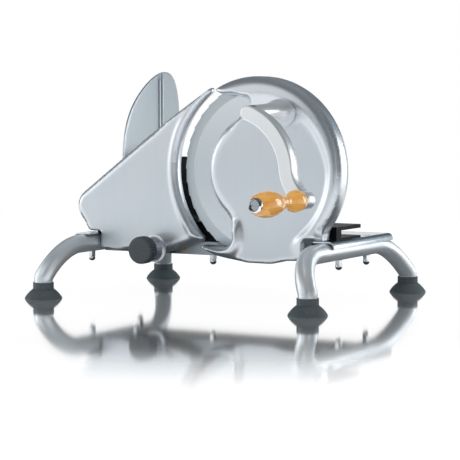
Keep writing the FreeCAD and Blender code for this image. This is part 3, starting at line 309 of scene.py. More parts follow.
def cornerArc(before, here, after, rounding, step):
    # points round a corner; between short sides it is rounded less
    back, ahead = before - here, after - here
    half = back.angle(ahead) / 2
    reach = min(rounding / math.tan(half), back.length * sideShare, ahead.length * sideShare)
    rounding = reach * math.tan(half)
    back.normalize()
    ahead.normalize()
    centre = here + (back + ahead).normalized() * (rounding / math.sin(half))
    first, last = here + back * reach - centre, here + ahead * reach - centre
    parts = max(2, int(first.angle(last) * rounding / step))
    turn = math.atan2(first.x * last.y - first.y * last.x, first.dot(last))
    arc = []
    for k in range(parts + 1):
        a = turn * k / parts
        arc.append(centre + Vector((first.x * math.cos(a) - first.y * math.sin(a),
                                    first.x * math.sin(a) + first.y * math.cos(a))))
    return arc


def roundedLoop(corners, step):
    # corners are (x, z, rounding, kind); gives evenly spaced points and each one's kind
    points, kinds = [], []
    count = len(corners)
    for i, (x, z, rounding, kind) in enumerate(corners):
        before, after = Vector(corners[i - 1][:2]), Vector(corners[(i + 1) % count][:2])
        here = Vector((x, z))
        arc = cornerArc(before, here, after, rounding, step) if rounding > 0 else [here]
        points += arc
        kinds += [kind] * len(arc)
    line = np.array([tuple(p) for p in points])
    closed = np.vstack([line, line[:1]])
    along = np.concatenate([[0], np.cumsum(np.hypot(*np.diff(closed, axis=0).T))])
    marks = np.linspace(0, along[-1], int(along[-1] / step), endpoint=False)
    loop = np.stack([np.interp(marks, along, closed[:, i]) for i in (0, 1)], axis=1)
    places = np.searchsorted(along, marks, side="right") - 1
    return loop, [kinds[min(len(kinds) - 1, int(place))] for place in places]


def evenedOut(values, reach):
    # a running mean round the closed loop
    kernel = np.ones(reach) / reach
    wrapped = np.concatenate([values[-reach:], values, values[:reach]])
    return np.convolve(wrapped, kernel, mode="same")[reach:-reach]


def nearestOn(points, loop, members=None):
    # distance from each point to the nearest place on the loop, and the index of the stretch it lies on;
    # where members are given, only the stretches that begin at them count
    best = np.full(len(points), far)
    index = np.zeros(len(points), dtype=int)
    for i in range(len(loop)) if members is None else members:
        a, b = loop[i], loop[(i + 1) % len(loop)]
        d = b - a
        t = np.clip(((points - a) @ d) / max(tiny, d @ d), 0, 1)
        gap = np.hypot(*(points - (a + t[:, None] * d)).T)
        closer = gap < best
        best[closer] = gap[closer]
        index[closer] = i
    return best, index


def insideLoop(points, loop):
    # a line to the right from a point inside crosses the loop an odd number of times
    inside = np.zeros(len(points), dtype=bool)
    for a, b in zip(loop, np.roll(loop, -1, axis=0)):
        crosses = (a[1] > points[:, 1]) != (b[1] > points[:, 1])
        if crosses.any():
            xAt = a[0] + (points[:, 1] - a[1]) * (b[0] - a[0]) / (b[1] - a[1] + tiny)
            inside ^= crosses & (points[:, 0] < xAt)
    return inside


def inwardOf(loop):
    # the direction into the loop at each of its points
    ahead = np.roll(loop, -1, axis=0) - np.roll(loop, 1, axis=0)
    area = np.sum(loop[:, 0] * np.roll(loop[:, 1], -1) - np.roll(loop[:, 0], -1) * loop[:, 1])
    inward = np.stack([-ahead[:, 1], ahead[:, 0]], axis=1) * (1 if area > 0 else -1)
    return inward / np.hypot(*inward.T)[:, None]


def rimOf(flat, loop):
    # which of the surface's points stand on the loop, in the loop's order
    return [int(np.argmin(np.hypot(*(flat - p).T))) for p in loop]


def triangulated(points, count):
    # triangles over the points, within the loop that the first ones make
    insideOnly, nearness = 1, 1e-4
    border = [list(range(count))]
    made = geometry.delaunay_2d_cdt([Vector(p) for p in points], [], border, insideOnly, nearness)
    return np.array([tuple(v) for v in made[0]]), [tuple(f) for f in made[2]]


def filledLoop(loop, fine, coarse, reach, rings=(0.15, 0.45, 0.9)):
    # rings close beside the loop, a fine even grid as far as the rolls reach, a coarse one in the middle
    inward = inwardOf(loop)
    layers = [loop]
    for offset in rings:
        ring = loop + inward * offset
        ring = ring[insideLoop(ring, loop)]
        # in tight corners the points that come too near another stretch are left out
        layers.append(ring[nearestOn(ring, loop)[0] > offset * 0.96])
    low, high = loop.min(axis=0), loop.max(axis=0)
    for step, start, end in ((fine, rings[-1] + fine * 0.5, reach), (coarse, reach + coarse * 0.5, far)):
        xs, zs = np.arange(low[0], high[0], step), np.arange(low[1], high[1], step * rowHeight)
        grid = np.array([(x + (0.5 * step if j % 2 else 0), z) for j, z in enumerate(zs) for x in xs])
        grid = grid[insideLoop(grid, loop)]
        gap = nearestOn(grid, loop)[0]
        layers.append(grid[(gap > start) & (gap < end)])
    return triangulated(np.vstack(layers), len(loop))


def relaxed(heights, faces, fixed):
    # evens the heights out between neighbours, so that no crease is left where two rolls meet
    neighbours = [set() for _ in heights]
    for face in faces:
        for a, b in zip(face, face[1:] + face[:1]):
            neighbours[a].add(b)
            neighbours[b].add(a)
    rows = np.concatenate([[i] * len(n) for i, n in enumerate(neighbours)]).astype(int)
    cols = np.concatenate([list(n) for n in neighbours]).astype(int)
    counts = np.maximum(1, np.bincount(rows, minlength=len(heights)))
    for _ in range(casting["relaxings"]):
        mean = np.bincount(rows, weights=heights[cols], minlength=len(heights)) / counts
        heights = np.where(fixed, heights, heights * 0.5 + mean * 0.5)
    return heights


def quarterRoll(distance, width, depth):
    # how far a rounded edge lies below the surface, from depth at the edge to nothing at its width
    t = np.clip(1 - distance / width, 0, 1)
    return depth * (1 - np.sqrt(np.clip(1 - t * t, 0, 1)))


def softLeast(a, b):
    # the lower of two heights, with a soft passage where they cross
    blend = casting["blend"]
    h = np.clip(0.5 + 0.5 * (b - a) / blend, 0, 1)
    return b * (1 - h) + a * h - blend * h * (1 - h)


def fallingEdge(values, start, end):
    # 1 up to the start, 0 from the end on
    t = np.clip((values - start) / (end - start), 0, 1)
    return 1 - t * t * (3 - 2 * t)


def meshPiece(name, vertices, faces, material, sharp=40):
    mesh = bpy.data.meshes.new(name)
    mesh.from_pydata([Vector(v) for v in vertices], [], faces)
    mesh.materials.append(material)
    work = bmesh.new()
    work.from_mesh(mesh)
    bmesh.ops.remove_doubles(work, verts=work.verts, dist=sameSpot)
    bmesh.ops.recalc_face_normals(work, faces=work.faces)
    work.to_mesh(mesh)
    work.free()
    mesh.shade_smooth()
    mesh.set_sharp_from_angle(angle=math.radians(sharp))
    piece = bpy.data.objects.new(name, mesh)
    bpy.context.collection.objects.link(piece)
    return piece


def facesBetween(rows):
    # faces from row to row, each row closed in itself; a row that is one point over and over makes a tip
    faces = []
    for upper, lower in zip(rows, rows[1:]):
        for k in range(len(upper)):
            j = (k + 1) % len(upper)
            corners = [upper[k], upper[j], lower[j], lower[k]]
            face = [c for n, c in enumerate(corners) if c not in corners[:n]]
            if len(face) > 2:
                faces.append(tuple(face))
    return faces


def rowsFrom(first, count, number):
    # as many rows of vertex numbers, one after another
    return [range(first + n * count, first + (n + 1) * count) for n in range(number)]


def castPiece(name, loop, flat, faces, heights, backY, closed=True):
    # the front surface, a straight wall back from its rim, and a flat back where closed
    vertices = [at(x, y, z) for (x, z), y in zip(flat, heights)]
    rim = rimOf(flat, loop)
    rows = [rim] + rowsFrom(len(flat), len(loop), casting["wallRows"])
    for level in range(1, len(rows)):
        for i in rim:
            y = heights[i] + (backY - heights[i]) * level / casting["wallRows"]
            vertices.append(at(flat[i][0], y, flat[i][1]))
    walls = facesBetween(rows)
    if closed:
        backOf = dict(zip(rim, rows[-1]))
        for i, (x, z) in enumerate(flat):
            if i not in backOf:
                backOf[i] = len(vertices)
                vertices.append(at(x, backY, z))
        faces = faces + [tuple(backOf[i] for i in reversed(face)) for face in faces]
    return meshPiece(name, vertices, faces + walls, castSatin)


def turnedPiece(name, rings, axis, material, sharp=35):
    # each ring is the radii of its points and its place along Y, a single point makes a tip;
    # axis is the x and z of the middle line
    vertices, rows = [], []
    around = max(len(radii) for radii, y in rings)
    for radii, y in rings:
        rows.append([len(vertices) + k % len(radii) for k in range(around)])
        for k, radius in enumerate(radii):
            a = 2 * math.pi * k / around
            vertices.append(at(axis[0] + radius * math.cos(a), y, axis[1] + radius * math.sin(a)))
    return meshPiece(name, vertices, facesBetween(rows), material, sharp)


def evenRings(profile, segments=72):
    # round rings from a profile of radius and place along Y
    return [([radius] * (segments if radius > 0 else 1), y) for radius, y in profile]


def smoothLine(points, parts):
    # a natural cubic spline through the points, as many parts between each two
    p = np.array(points, dtype=float)
    gaps = np.diff(np.concatenate([[0], np.cumsum(np.hypot(*np.diff(p, axis=0).T))]))
    n = len(p)
    matrix, right = np.eye(n), np.zeros(p.shape)
    for i in range(1, n - 1):
        matrix[i, i - 1:i + 2] = gaps[i - 1], 2 * (gaps[i - 1] + gaps[i]), gaps[i]
        right[i] = 6 * ((p[i + 1] - p[i]) / gaps[i] - (p[i] - p[i - 1]) / gaps[i - 1])
    bend = np.linalg.solve(matrix, right)
    line = []
    for i in range(n - 1):
        for k in range(parts):
            b = k / parts
            a = 1 - b
            line.append(a * p[i] + b * p[i + 1]
                        + ((a ** 3 - a) * bend[i] + (b ** 3 - b) * bend[i + 1]) * gaps[i] ** 2 / 6)
    line.append(p[-1])
    return [tuple(v) for v in line]


def joined(name, *pieces):
    # one object from several meshes
    work = bmesh.new()
    for piece in pieces:
        work.from_mesh(piece.data)
    mesh = bpy.data.meshes.new(name)
    work.to_mesh(mesh)
    work.free()
    mesh.materials.append(pieces[0].data.materials[0])
    whole = bpy.data.objects.new(name, mesh)
    bpy.context.collection.objects.link(whole)
    for piece in pieces:
        bpy.data.objects.remove(piece)
    return whole


def fitted(piece, body, slotName, *nodes):
    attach(piece, body)
    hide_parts(*nodes)


def ringCorners(corners, radius):
    # each one's angle round the blade's axle, distance outside the radius, rounding and kind
    return [(*polar(angle, radius + outside), rounding, kind) for angle, outside, rounding, kind in corners]


# gear housing
housing = {
    "radius": 99.0, "rimFrom": -29.0, "rimTo": 120.6,     # the round edge, millimetres and degrees
    "shoulder": 59.5, "shoulderFrom": 119.5, "shoulderTo": 229.0,     # the smaller round between the horns
    "faceY": -62.5, "backY": -45.5, "wall": 2.2,
    "crest": 4.5, "crestIn": (9.6, 15.0), "beadWidth": (9.0, 22.0),     # raised rim, on the right and on top
    "beadEnd": (-64.0, -50.0),     # between these angles it fades away
    "lipCrest": 5.5, "lipIn": 16.0,     # raised lip of the lower horn
    "rolls": {     # width and depth of the rounded edge, height of the surface there, share of the lower lip
        "rim": (9.6, 8.5, 4.5, 0), "upperTip": (5.0, 12.0, 4.5, 0), "upperHorn": (4.5, 13.0, 4.5, 0),
        "throat": (8.0, 13.0, 1.0, 0), "shoulder": (11.0, 11.0, 0.0, 0), "lowerHorn": (5.5, 12.0, 5.5, 1),
        "lowerTip": (4.0, 10.0, 5.0, 1), "hornUnder": (13.0, 11.0, 5.5, 1), "bottom": (2.4, 2.4, 0.0, 0),
        "foot": (2.4, 2.4, 1.0, 0),
    },
    "upper": [     # the horns' corners: angle, distance outside the round edge, rounding and kind
        (121.5, 0.1, 1.8, "upperTip"), (117.2, -9.4, 8, "upperHorn"), (107.4, -15.5, 30, "upperHorn"),
        (96.9, -24.5, 6, "throat"), (100.3, -31.9, 6, "throat"),
    ],
    "lower": [
        (234.0, -38.3, 24, "shoulder"), (244.7, -30.0, 24, "lowerHorn"), (250.1, -16.0, 9, "lowerHorn"),
        (243.2, -6.0, 12, "lowerHorn"), (233.4, 1.7, 20, "lowerHorn"), (228.4, 8.2, 1.4, "lowerTip"),
        (240.1, 5.4, 30, "hornUnder"), (247.8, 1.7, 50, "hornUnder"), (262.9, -1.5, 40, "bottom"),
        (280.5, -0.5, 30, "bottom"), (290.1, 0.0, 30, "bottom"), (300.4, 7.7, 3, "bottom"),
    ],
    "foot": [(125.0, 68.3, 2, "foot"), (144.0, 68.3, 1.5, "foot")],     # x, z, rounding and kind
    "heel": (-38.5, 0.6, 6, "rim"),
    "evening": 11,     # points over which one kind of edge passes into the next
    "fine": 1.2, "fineReach": 24.0,
}


def housingCorners():
    rim = [(a, 0, 0, "rim") for a in np.arange(housing["rimFrom"], housing["rimTo"], 1.0)]
    angles = np.arange(housing["shoulderFrom"], housing["shoulderTo"], 1.5)
    corners = ringCorners(rim + housing["upper"], housing["radius"])
    corners += ringCorners([(a, 0, 0, "shoulder") for a in angles], housing["shoulder"])
    corners += ringCorners(housing["lower"], housing["radius"])
    return corners + housing["foot"] + ringCorners([housing["heel"]], housing["radius"])


def housingSurface(flat, loop, kinds):
    # the height over the flat face, in millimetres towards the crank
    rolls = np.array([housing["rolls"][kind] for kind in kinds])
    rolls = np.stack([evenedOut(column, housing["evening"]) for column in rolls.T], axis=1)
    relative = flat - np.array(bladeAxis)
    inRim = housing["radius"] - np.hypot(*relative.T)
    angle = np.degrees(np.arctan2(relative[:, 1], relative[:, 0]))
    # from the right side to the top the raised rim grows wider
    upwards = np.clip(angle / 90, 0, 1)
    ranges = housing["crestIn"], housing["beadWidth"]
    crestIn, width = (low + (high - low) * upwards for low, high in ranges)
    bead = housing["crest"] * fallingEdge(inRim, crestIn, crestIn + width)
    low, high = housing["beadEnd"]
    bead *= np.where(angle < high, 1 - fallingEdge(angle, low, high), 1)
    lip = np.zeros(len(flat))
    horns = ("upperTip", "upperHorn", "throat", "shoulder", "lowerHorn", "lowerTip")
    cuts = []
    for family in (("rim",), horns, ("hornUnder", "bottom", "foot")):
        members = [i for i, kind in enumerate(kinds) if kind in family]
        gap, index = nearestOn(flat, loop, members)
        width, depth, top, share = rolls[index].T
        if "rim" in family:
            width = width + crestIn - housing["crestIn"][0]
        if family == horns:
            lipEnd = np.maximum(width + 2, housing["lipIn"])
            lip = housing["lipCrest"] * share * fallingEdge(gap, width, lipEnd)
        cuts.append((gap < width, top - quarterRoll(gap, width, depth)))
    surface = np.maximum(bead, lip)
    for near, height in cuts:
        surface = np.where(near, softLeast(surface, height), surface)
    return surface


def makeHousing():
    loop, kinds = roundedLoop(housingCorners(), casting["step"])
    flat, faces = filledLoop(loop, housing["fine"], casting["coarse"], housing["fineReach"])
    edge = np.isin(np.arange(len(flat)), rimOf(flat, loop))
    heights = housing["faceY"] - relaxed(housingSurface(flat, loop, kinds), faces, edge)
    shell = castPiece("housingShell", loop, flat, faces, heights, housing["backY"], closed=False)
    thicken = shell.modifiers.new("wall", "SOLIDIFY")
    thicken.thickness = housing["wall"] * mm
    thicken.offset = -1.0
    fitted(shell, "frame", "cast_aluminium", "gear_housing")


makeHousing()
print("housing made")

# gauge plate
gauge = {
    "frontY": -54.0, "backY": -43.1,
    "edge": 102.0, "edgeFrom": 222.5, "edgeTo": 128.0,     # the hollow edge round the blade
    "bead": 1.5, "beadWidth": 5.0, "beadEnd": (3.0, 14.0),     # raised rim along the curved edge
    "rolls": {     # width and depth of the rounded edge
        "top": (8.5, 8.0), "tip": (3.4, 6.0), "curve": (6.0, 9.5), "corner": (8.0, 9.0),
        "under": (15.0, 9.6), "left": (7.5, 8.0), "foot": (2.0, 2.0),
    },
    "tip": (7.05, 228.2, 2.6, "tip"),     # x, z, rounding and kind
    "foot": [(-149.0, 69.6, 4, "foot"), (-132.5, 69.6, 0.8, "foot"), (-132.5, 51.5, 3, "foot")],
    "under": [(-99.4, 48.2, 60, "under"), (-66.0, 43.2, 24, "under"), (-36.7, 52.4, 80, "under")],
    # angle, distance outside the curved edge, rounding and kind
    "left": [(163.9, 38.4, 600, "top"), (189.2, 140.4, 25, "left")],
    "corner": (227.6, 0, 6, "corner"), "upperEnd": (126.0, 0, 2.4, "tip"),
    "evening": 19, "fine": 1.3, "fineReach": 19.0,
    "screw": middleOf("gauge_screw")[::2],     # x and z
    "boss": 10.5, "bossHole": 4.05, "bossY": -70.0,
}


def gaugeCorners():
    edge = gauge["edge"]
    curve = [(a, 0, 0, "curve") for a in np.arange(gauge["edgeFrom"], gauge["edgeTo"], -1.0)]
    corners = [gauge["tip"]] + ringCorners(gauge["left"], edge) + gauge["foot"] + gauge["under"]
    return corners + ringCorners([gauge["corner"]] + curve + [gauge["upperEnd"]], edge)


def gaugeSurface(flat, loop, kinds):
    # how far the raised rim stands over the flat face, and the rolled edges below it
    rolls = np.array([gauge["rolls"][kind] for kind in kinds])
    rolls = np.stack([evenedOut(column, gauge["evening"]) for column in rolls.T], axis=1)
    curved = np.array([kind == "curve" for kind in kinds])
    gap, index = nearestOn(flat, loop, np.where(curved)[0])
    otherGap, otherIndex = nearestOn(flat, loop, np.where(~curved)[0])
    width, depth = rolls[index].T
    bead = gauge["bead"] * fallingEdge(gap, width, width + gauge["beadWidth"])
    bead = bead * (1 - fallingEdge(otherGap, *gauge["beadEnd"]))
    drop = softLeast(-quarterRoll(gap, width, depth), -quarterRoll(otherGap, *rolls[otherIndex].T))
    return bead, drop


def gaugeBoss():
    # round the screw, with a hollow fillet down to the plate
    hole, radius, tip, face = gauge["bossHole"], gauge["boss"], gauge["bossY"], gauge["frontY"]
    profile = [(hole, face + 1.0), (hole, tip), (radius - 2.1, tip), (radius - 1.0, tip + 0.4)]
    profile += [(radius - 0.3, tip + 1.3), (radius, tip + 2.5), (radius, face - 3.5)]
    profile += [(radius + 0.4, face - 2.0), (radius + 1.4, face - 0.9), (radius + 2.9, face - 0.3)]
    profile += [(radius + 4.5, face), (radius + 4.5, face + 1.0)]
    return turnedPiece("gaugeBoss", evenRings(profile), gauge["screw"], castSatin)


def makeGauge():
    loop, kinds = roundedLoop(gaugeCorners(), casting["step"])
    flat, faces = filledLoop(loop, gauge["fine"], casting["coarse"], gauge["fineReach"])
    edge = np.isin(np.arange(len(flat)), rimOf(flat, loop))
    bead, drop = gaugeSurface(flat, loop, kinds)
    heights = relaxed(gauge["frontY"] - bead - drop, faces, edge)
    plate = castPiece("gaugeCasting", loop, flat, faces, heights, gauge["backY"])
    fitted(joined("gaugeCasting", plate, gaugeBoss()), "gauge", "cast_aluminium", "gauge_plate")


makeGauge()
print("gauge plate made")

# crank arm, grip and its ring
crank = {
    "axis": middleOf("crank_shaft")[::2], "grip": middleOf("grip_spindle")[::2],     # x and z
    "frontY": -145.0, "thick": 15.0, "half": 7.3, "bevel": 0.9,
    "upper": (0.464, 0.226), "knee": (0.706, 0.610), "lower": (0.779, 0.815),     # shares of the way along
    "upperParts": 26, "lowerParts": 12, "capParts": 18, "hubParts": 4,
    "seat": 9.2, "seatHole": 3.6, "seatProud": 2.0,
    "hub": [     # radius and place along Y, from the washer outwards
        (12.2, -63.2), (13.0, -64.0), (13.9, -70.0), (14.1, -75.0), (13.8, -79.5), (12.9, -84.0),
        (11.6, -88.5), (10.4, -94.5), (9.5, -103.0), (8.8, -114.0), (8.2, -126.0), (8.0, -134.0),
    ],
}


def arcPoints(first, middle, last, parts):
    # points along the circle through three places
    (ax, az), (bx, bz), (cx, cz) = first, middle, last
    d = 2 * (ax * (bz - cz) + bx * (cz - az) + cx * (az - bz))
    sa, sb, sc = ax * ax + az * az, bx * bx + bz * bz, cx * cx + cz * cz
    ox = (sa * (bz - cz) + sb * (cz - az) + sc * (az - bz)) / d
    oz = (sa * (cx - bx) + sb * (ax - cx) + sc * (bx - ax)) / d
    radius = math.hypot(ax - ox, az - oz)
    start = math.atan2(az - oz, ax - ox)
    sweep = math.atan2(cz - oz, cx - ox) - start
    sweep = (sweep + math.pi) % (2 * math.pi) - math.pi
    angles = [start + sweep * k / parts for k in range(parts + 1)]
    return [(ox + radius * math.cos(a), oz + radius * math.sin(a)) for a in angles]


def armPlace(name):
    (x, z), (gripX, gripZ), (across, down) = crank["axis"], crank["grip"], crank[name]
    return x + across * (gripX - x), z + down * (gripZ - z)


def armLine():
    knee = armPlace("knee")
    upper = arcPoints(crank["axis"], armPlace("upper"), knee, crank["upperParts"])
    return upper + arcPoints(knee, armPlace("lower"), crank["grip"], crank["lowerParts"])[1:]


def armOutline():
    # both sides of the bent bar and the round top end; the other end lies inside the boss
    line = np.array(armLine())
    along = np.gradient(line, axis=0)
    along /= np.hypot(*along.T)[:, None]
    across = np.stack([-along[:, 1], along[:, 0]], axis=1)
    half, parts = crank["half"], crank["capParts"]
    left, right = line + across * half, line - across * half
    start = math.atan2(across[0][1], across[0][0])
    angles = [start + math.pi * k / parts for k in range(1, parts)]
    cap = [tuple(line[0] + half * np.array([math.cos(a), math.sin(a)])) for a in angles]
    return [tuple(p) for p in left[::-1]] + cap + [tuple(p) for p in right]


def barFrom(name, outline, frontY, backY, bevel, material):
    # a bar cut from plate: flat faces and a rounded rim on both sides
    points = np.array(outline)
    inward = inwardOf(points)
    soft, lip = bevel * 0.3, bevel + 0.6     # the middle of the rounding, and a ring inside it
    levels = [(lip, frontY), (bevel, frontY), (soft, frontY + soft), (0, frontY + bevel),
              (0, backY - bevel), (soft, backY - soft), (bevel, backY), (lip, backY)]
    vertices = [at(p[0], y, p[1]) for inset, y in levels for p in points + inward * inset]
    rows = rowsFrom(0, len(outline), len(levels))
    return meshPiece(name, vertices, facesBetween(rows) + [tuple(rows[0]), tuple(rows[-1])], material, 30)


def makeCrank():
    front, back = crank["frontY"], crank["frontY"] + crank["thick"]
    bar = barFrom("armBar", armOutline(), front, back, crank["bevel"], paintedBrightArmSatin)
    rings = evenRings(smoothLine(crank["hub"], crank["hubParts"]))
    hub = turnedPiece("armHub", rings, crank["axis"], paintedBrightArmSatin, 50)
    hole, radius, tip = crank["seatHole"], crank["seat"], front - crank["seatProud"]
    boss = [(hole, tip), (radius - 1.2, tip), (radius - 0.4, tip + 0.3), (radius, tip + 1.0)]
    boss += [(radius, back - 1.2), (radius - 0.3, back - 0.3), (radius - 1.1, back), (0.0, back)]
    seat = turnedPiece("armSeat", evenRings(boss, 64), crank["grip"], paintedBrightArmSatin)
    fitted(joined("crankCasting", bar, hub, seat), "crank", "cast_aluminium", "crank_arm")


grip = {
    "tipY": -237.4, "length": 90.0, "hole": 3.6, "end": 8.2, "endRound": 0.25,
    "mouth": 7.0, "recess": 1.4,     # the ring's bed in the tip
    "ring": 7.4, "ringInner": 5.4, "ringFront": -242.3, "ringBed": 1.2,
    "parts": 5, "segments": 96,
    "profile": [     # radius and share of the length from the tip
        (7.35, 0.0), (9.6, 0.035), (11.2, 0.09), (12.4, 0.16), (12.85, 0.23), (12.7, 0.30), (11.9, 0.37),
        (10.5, 0.44), (8.9, 0.51), (7.5, 0.57), (6.75, 0.63), (7.1, 0.69), (8.5, 0.75), (10.1, 0.81),
        (11.0, 0.87), (10.9, 0.92), (10.1, 0.965), (8.9, 1.0),
    ],
}


def makeGrip():
    tip, length, hole, mouth = grip["tipY"], grip["length"], grip["hole"], grip["mouth"]
    bottom, end = tip + grip["recess"], tip + length + grip["endRound"]
    profile = [(hole, bottom), (mouth - 0.1, bottom), (mouth, tip + 0.2)]
    profile += smoothLine([(r, tip + length * share) for r, share in grip["profile"]], grip["parts"])
    profile += [(grip["end"], end), (hole, end), (hole, bottom)]
    wood = turnedPiece("gripWood", evenRings(profile, grip["segments"]), crank["grip"], gripWood)
    fitted(wood, "grip", "grip_wood", "wooden_grip")


def makeRing():
    tip, bed = grip["tipY"], grip["tipY"] + grip["ringBed"]
    front, outer, inner = grip["ringFront"], grip["ring"], grip["ringInner"]
    profile = [(inner, bed), (outer - 0.5, bed), (outer - 0.5, tip + 0.1), (outer - 0.1, tip - 0.1)]
    profile += [(outer, tip - 0.9), (outer - 0.1, tip - 2.0), (outer - 0.45, tip - 3.2)]
    profile += [(outer - 1.0, front + 0.7), (outer - 1.5, front + 0.15), (inner + 0.35, front)]
    profile += [(inner + 0.1, front + 0.2), (inner, front + 0.7), (inner, bed)]
    ring = turnedPiece("gripRing", evenRings(profile), crank["grip"], brightChrome)
    fitted(ring, "grip", "fastener_chrome", "grip_ring")


makeCrank()
makeGrip()
makeRing()
print("crank and grip made")

# knob with its ribs
knob = {
    "radius": 14.8, "hole": 4.1, "frontY": -85.0, "rearY": -71.0,
    "ribs": 44, "ribDepth": 0.55, "ribPoints": 6,
}


def knobProfile():
    # radius, place along Y and share of the ribs' depth
    front, rear, radius = knob["frontY"], knob["rearY"], knob["radius"]
    face = [(0.0, front, 0), (3.0, front, 0), (9.5, front + 0.05, 0), (radius - 2.6, front + 0.1, 0)]
    shoulder = [(radius - 1.6, front + 0.35, 0), (radius - 0.8, front + 0.8, 0.5)]
    side = [(radius - 0.25, front + 1.5, 1), (radius, front + 2.4, 1), (radius, front + 5, 1)]
    side += [(radius, rear - 2.0, 1), (radius - 0.1, rear - 1.2, 1)]
    back = [(radius - 0.5, rear - 0.5, 0.5), (radius - 1.2, rear, 0), (knob["hole"], rear, 0)]
    return face + shoulder + side + back


def makeKnob():
    parts = knob["ribPoints"]
    waves = [0.5 - 0.5 * math.cos(2 * math.pi * k / parts) for k in range(parts)]
    grooves = [knob["ribDepth"] * wave ** 2 for wave in waves] * knob["ribs"]
    rings = [([radius - share * groove for groove in grooves] if radius > 0 else [0.0], y)
             for radius, y, share in knobProfile()]
    piece = turnedPiece("thicknessKnob", rings, gauge["screw"], knobBlack, 50)
    fitted(piece, "knob", "knob_black", "thickness_knob")


makeKnob()
print("knob made")

# back wall of the carriage, a sheet with two pressed ribs
wall = {
    "leftX": -112.0, "thick": 2.0, "low": 86.3,
    "outline": [     # y and z, round the top and back down to the bottom
        (-41.0, 86.3), (-41.0, 140.0), (-38.0, 172.0), (-24.6, 202.0), (-0.8, 225.0), (30.0, 242.0),
        (48.5, 246.0), (64.0, 242.0), (76.0, 225.0), (81.0, 200.0), (81.0, 86.3),
    ],
    "parts": 14, "step": 2.0, "coarse": 4.0, "rings": (0.4, 1.0), "ringReach": 10.0,
    "edge": 0.6, "edgeDrop": 0.35,     # the rounded edge on both sides
    "ribs": (35.2, 41.4), "ribWidth": 1.3, "ribRise": 1.8,
    "ribFoot": (94, 102), "ribTop": (2.0, 7.0),     # the ribs fade at these heights and this near the edge
    "ribColumns": (0.2, 0.6, 0.85, 0.95, 1, 1.2, 1.8), "ribRows": (96, 242, 3.0), "ribClear": 4.0,
    "flange": 16.0, "flangeEnds": (-37.5, 79.0), "flangeGap": 0.02,
}


def wallFace(loop):
    # an even mesh, with close columns of points where the ribs stand
    flat = filledLoop(loop, wall["coarse"], wall["coarse"], wall["ringReach"], wall["rings"])[0]
    shares = [side * d for side in (-1, 1) for d in wall["ribColumns"]]
    columns = sorted(middle + d * wall["ribWidth"] for middle in wall["ribs"] for d in shares)
    fine = np.array([(y, z) for y in columns for z in np.arange(*wall["ribRows"])])
    fine = fine[insideLoop(fine, loop)]
    fine = fine[nearestOn(fine, loop)[0] > wall["ribTop"][0]]
    coarse = flat[len(loop):]
    before, behind = wall["ribs"][0] - wall["ribClear"], wall["ribs"][1] + wall["ribClear"]
    coarse = coarse[(coarse[:, 0] < before) | (coarse[:, 0] > behind)]
    return triangulated(np.vstack([loop, coarse, fine]), len(loop))


def wallLeaf():
    outline = wall["outline"]
    side = smoothLine(outline[:-1], wall["parts"]) + [outline[-1]]
    corners = [(y, z, 0, "edge") for y, z in side]
    loop = roundedLoop(corners, wall["step"])[0]
    flat, faces = wallFace(loop)
    gap = nearestOn(flat, loop)[0]
    away = np.min([np.abs(flat[:, 0] - middle) for middle in wall["ribs"]], axis=0) / wall["ribWidth"]
    rise = wall["ribRise"] * np.where(away < 1, np.clip(1 - away ** 4, 0, 1) ** 0.25, 0)
    rise *= (1 - fallingEdge(flat[:, 1], *wall["ribFoot"])) * (1 - fallingEdge(gap, *wall["ribTop"]))
    soft = wall["edgeDrop"] * (1 - np.clip(gap / wall["edge"], 0, 1))
    face = wall["leftX"] + wall["thick"]
    vertices = [at(face + r - s, y, z) for (y, z), r, s in zip(flat, rise, soft)]
    vertices += [at(wall["leftX"] + s, y, z) for (y, z), s in zip(flat, soft)]
    rim = rimOf(flat, loop)
    edge = facesBetween([rim, [len(flat) + i for i in rim]])
    back = [tuple(len(flat) + i for i in reversed(f)) for f in faces]
    return meshPiece("wallLeaf", vertices, faces + back + edge, wallSatin, 35)


def wallFlange():
    # the foot of the wall, bent over to the right
    low, thick, face = wall["low"], wall["thick"], wall["leftX"] + wall["thick"]
    reach, gap = face + wall["flange"], wall["flangeGap"]
    bend = [(face, low + 6.0), (face, low + 4.5), (face + 0.5, low + 3.2), (face + 1.4, low + 2.3)]
    bend += [(face + 2.7, low + thick), (reach - 0.5, low + thick), (reach, low + 1.6)]
    bend += [(reach, low + gap), (face, low + gap)]
    vertices = [at(x, y, z) for y in wall["flangeEnds"] for x, z in bend]
    rows = rowsFrom(0, len(bend), 2)
    return meshPiece("wallFoot", vertices, facesBetween(rows) + [tuple(row) for row in rows], wallSatin, 50)


def makeWall():
    fitted(joined("wallSheet", wallLeaf(), wallFlange()), "carriage", "wall_satin", "carriage_wall")


makeWall()
print("carriage wall made")

# camera and studio, in metres
camera = {
    "place": (0.9342, -1.6329, 0.2133), "tilt": 85.79, "turn": 29.01, "lens": 137.5, "sensor": 36.0,
    "nearest": 0.01, "farthest": 50.0,
}


def setCamera():
    data = bpy.data.cameras.new("studioCamera")
    data.sensor_width = camera["sensor"]
    data.lens = camera["lens"]
    data.clip_start = camera["nearest"]
    data.clip_end = camera["farthest"]
    cam = bpy.data.objects.new("studioCamera", data)
    cam.location = camera["place"]
    cam.rotation_euler = (math.radians(camera["tilt"]), 0.0, math.radians(camera["turn"]))
    bpy.context.collection.objects.link(cam)
    bpy.context.scene.camera = cam
    bpy.context.scene.view_settings.view_transform = "Standard"


setCamera()

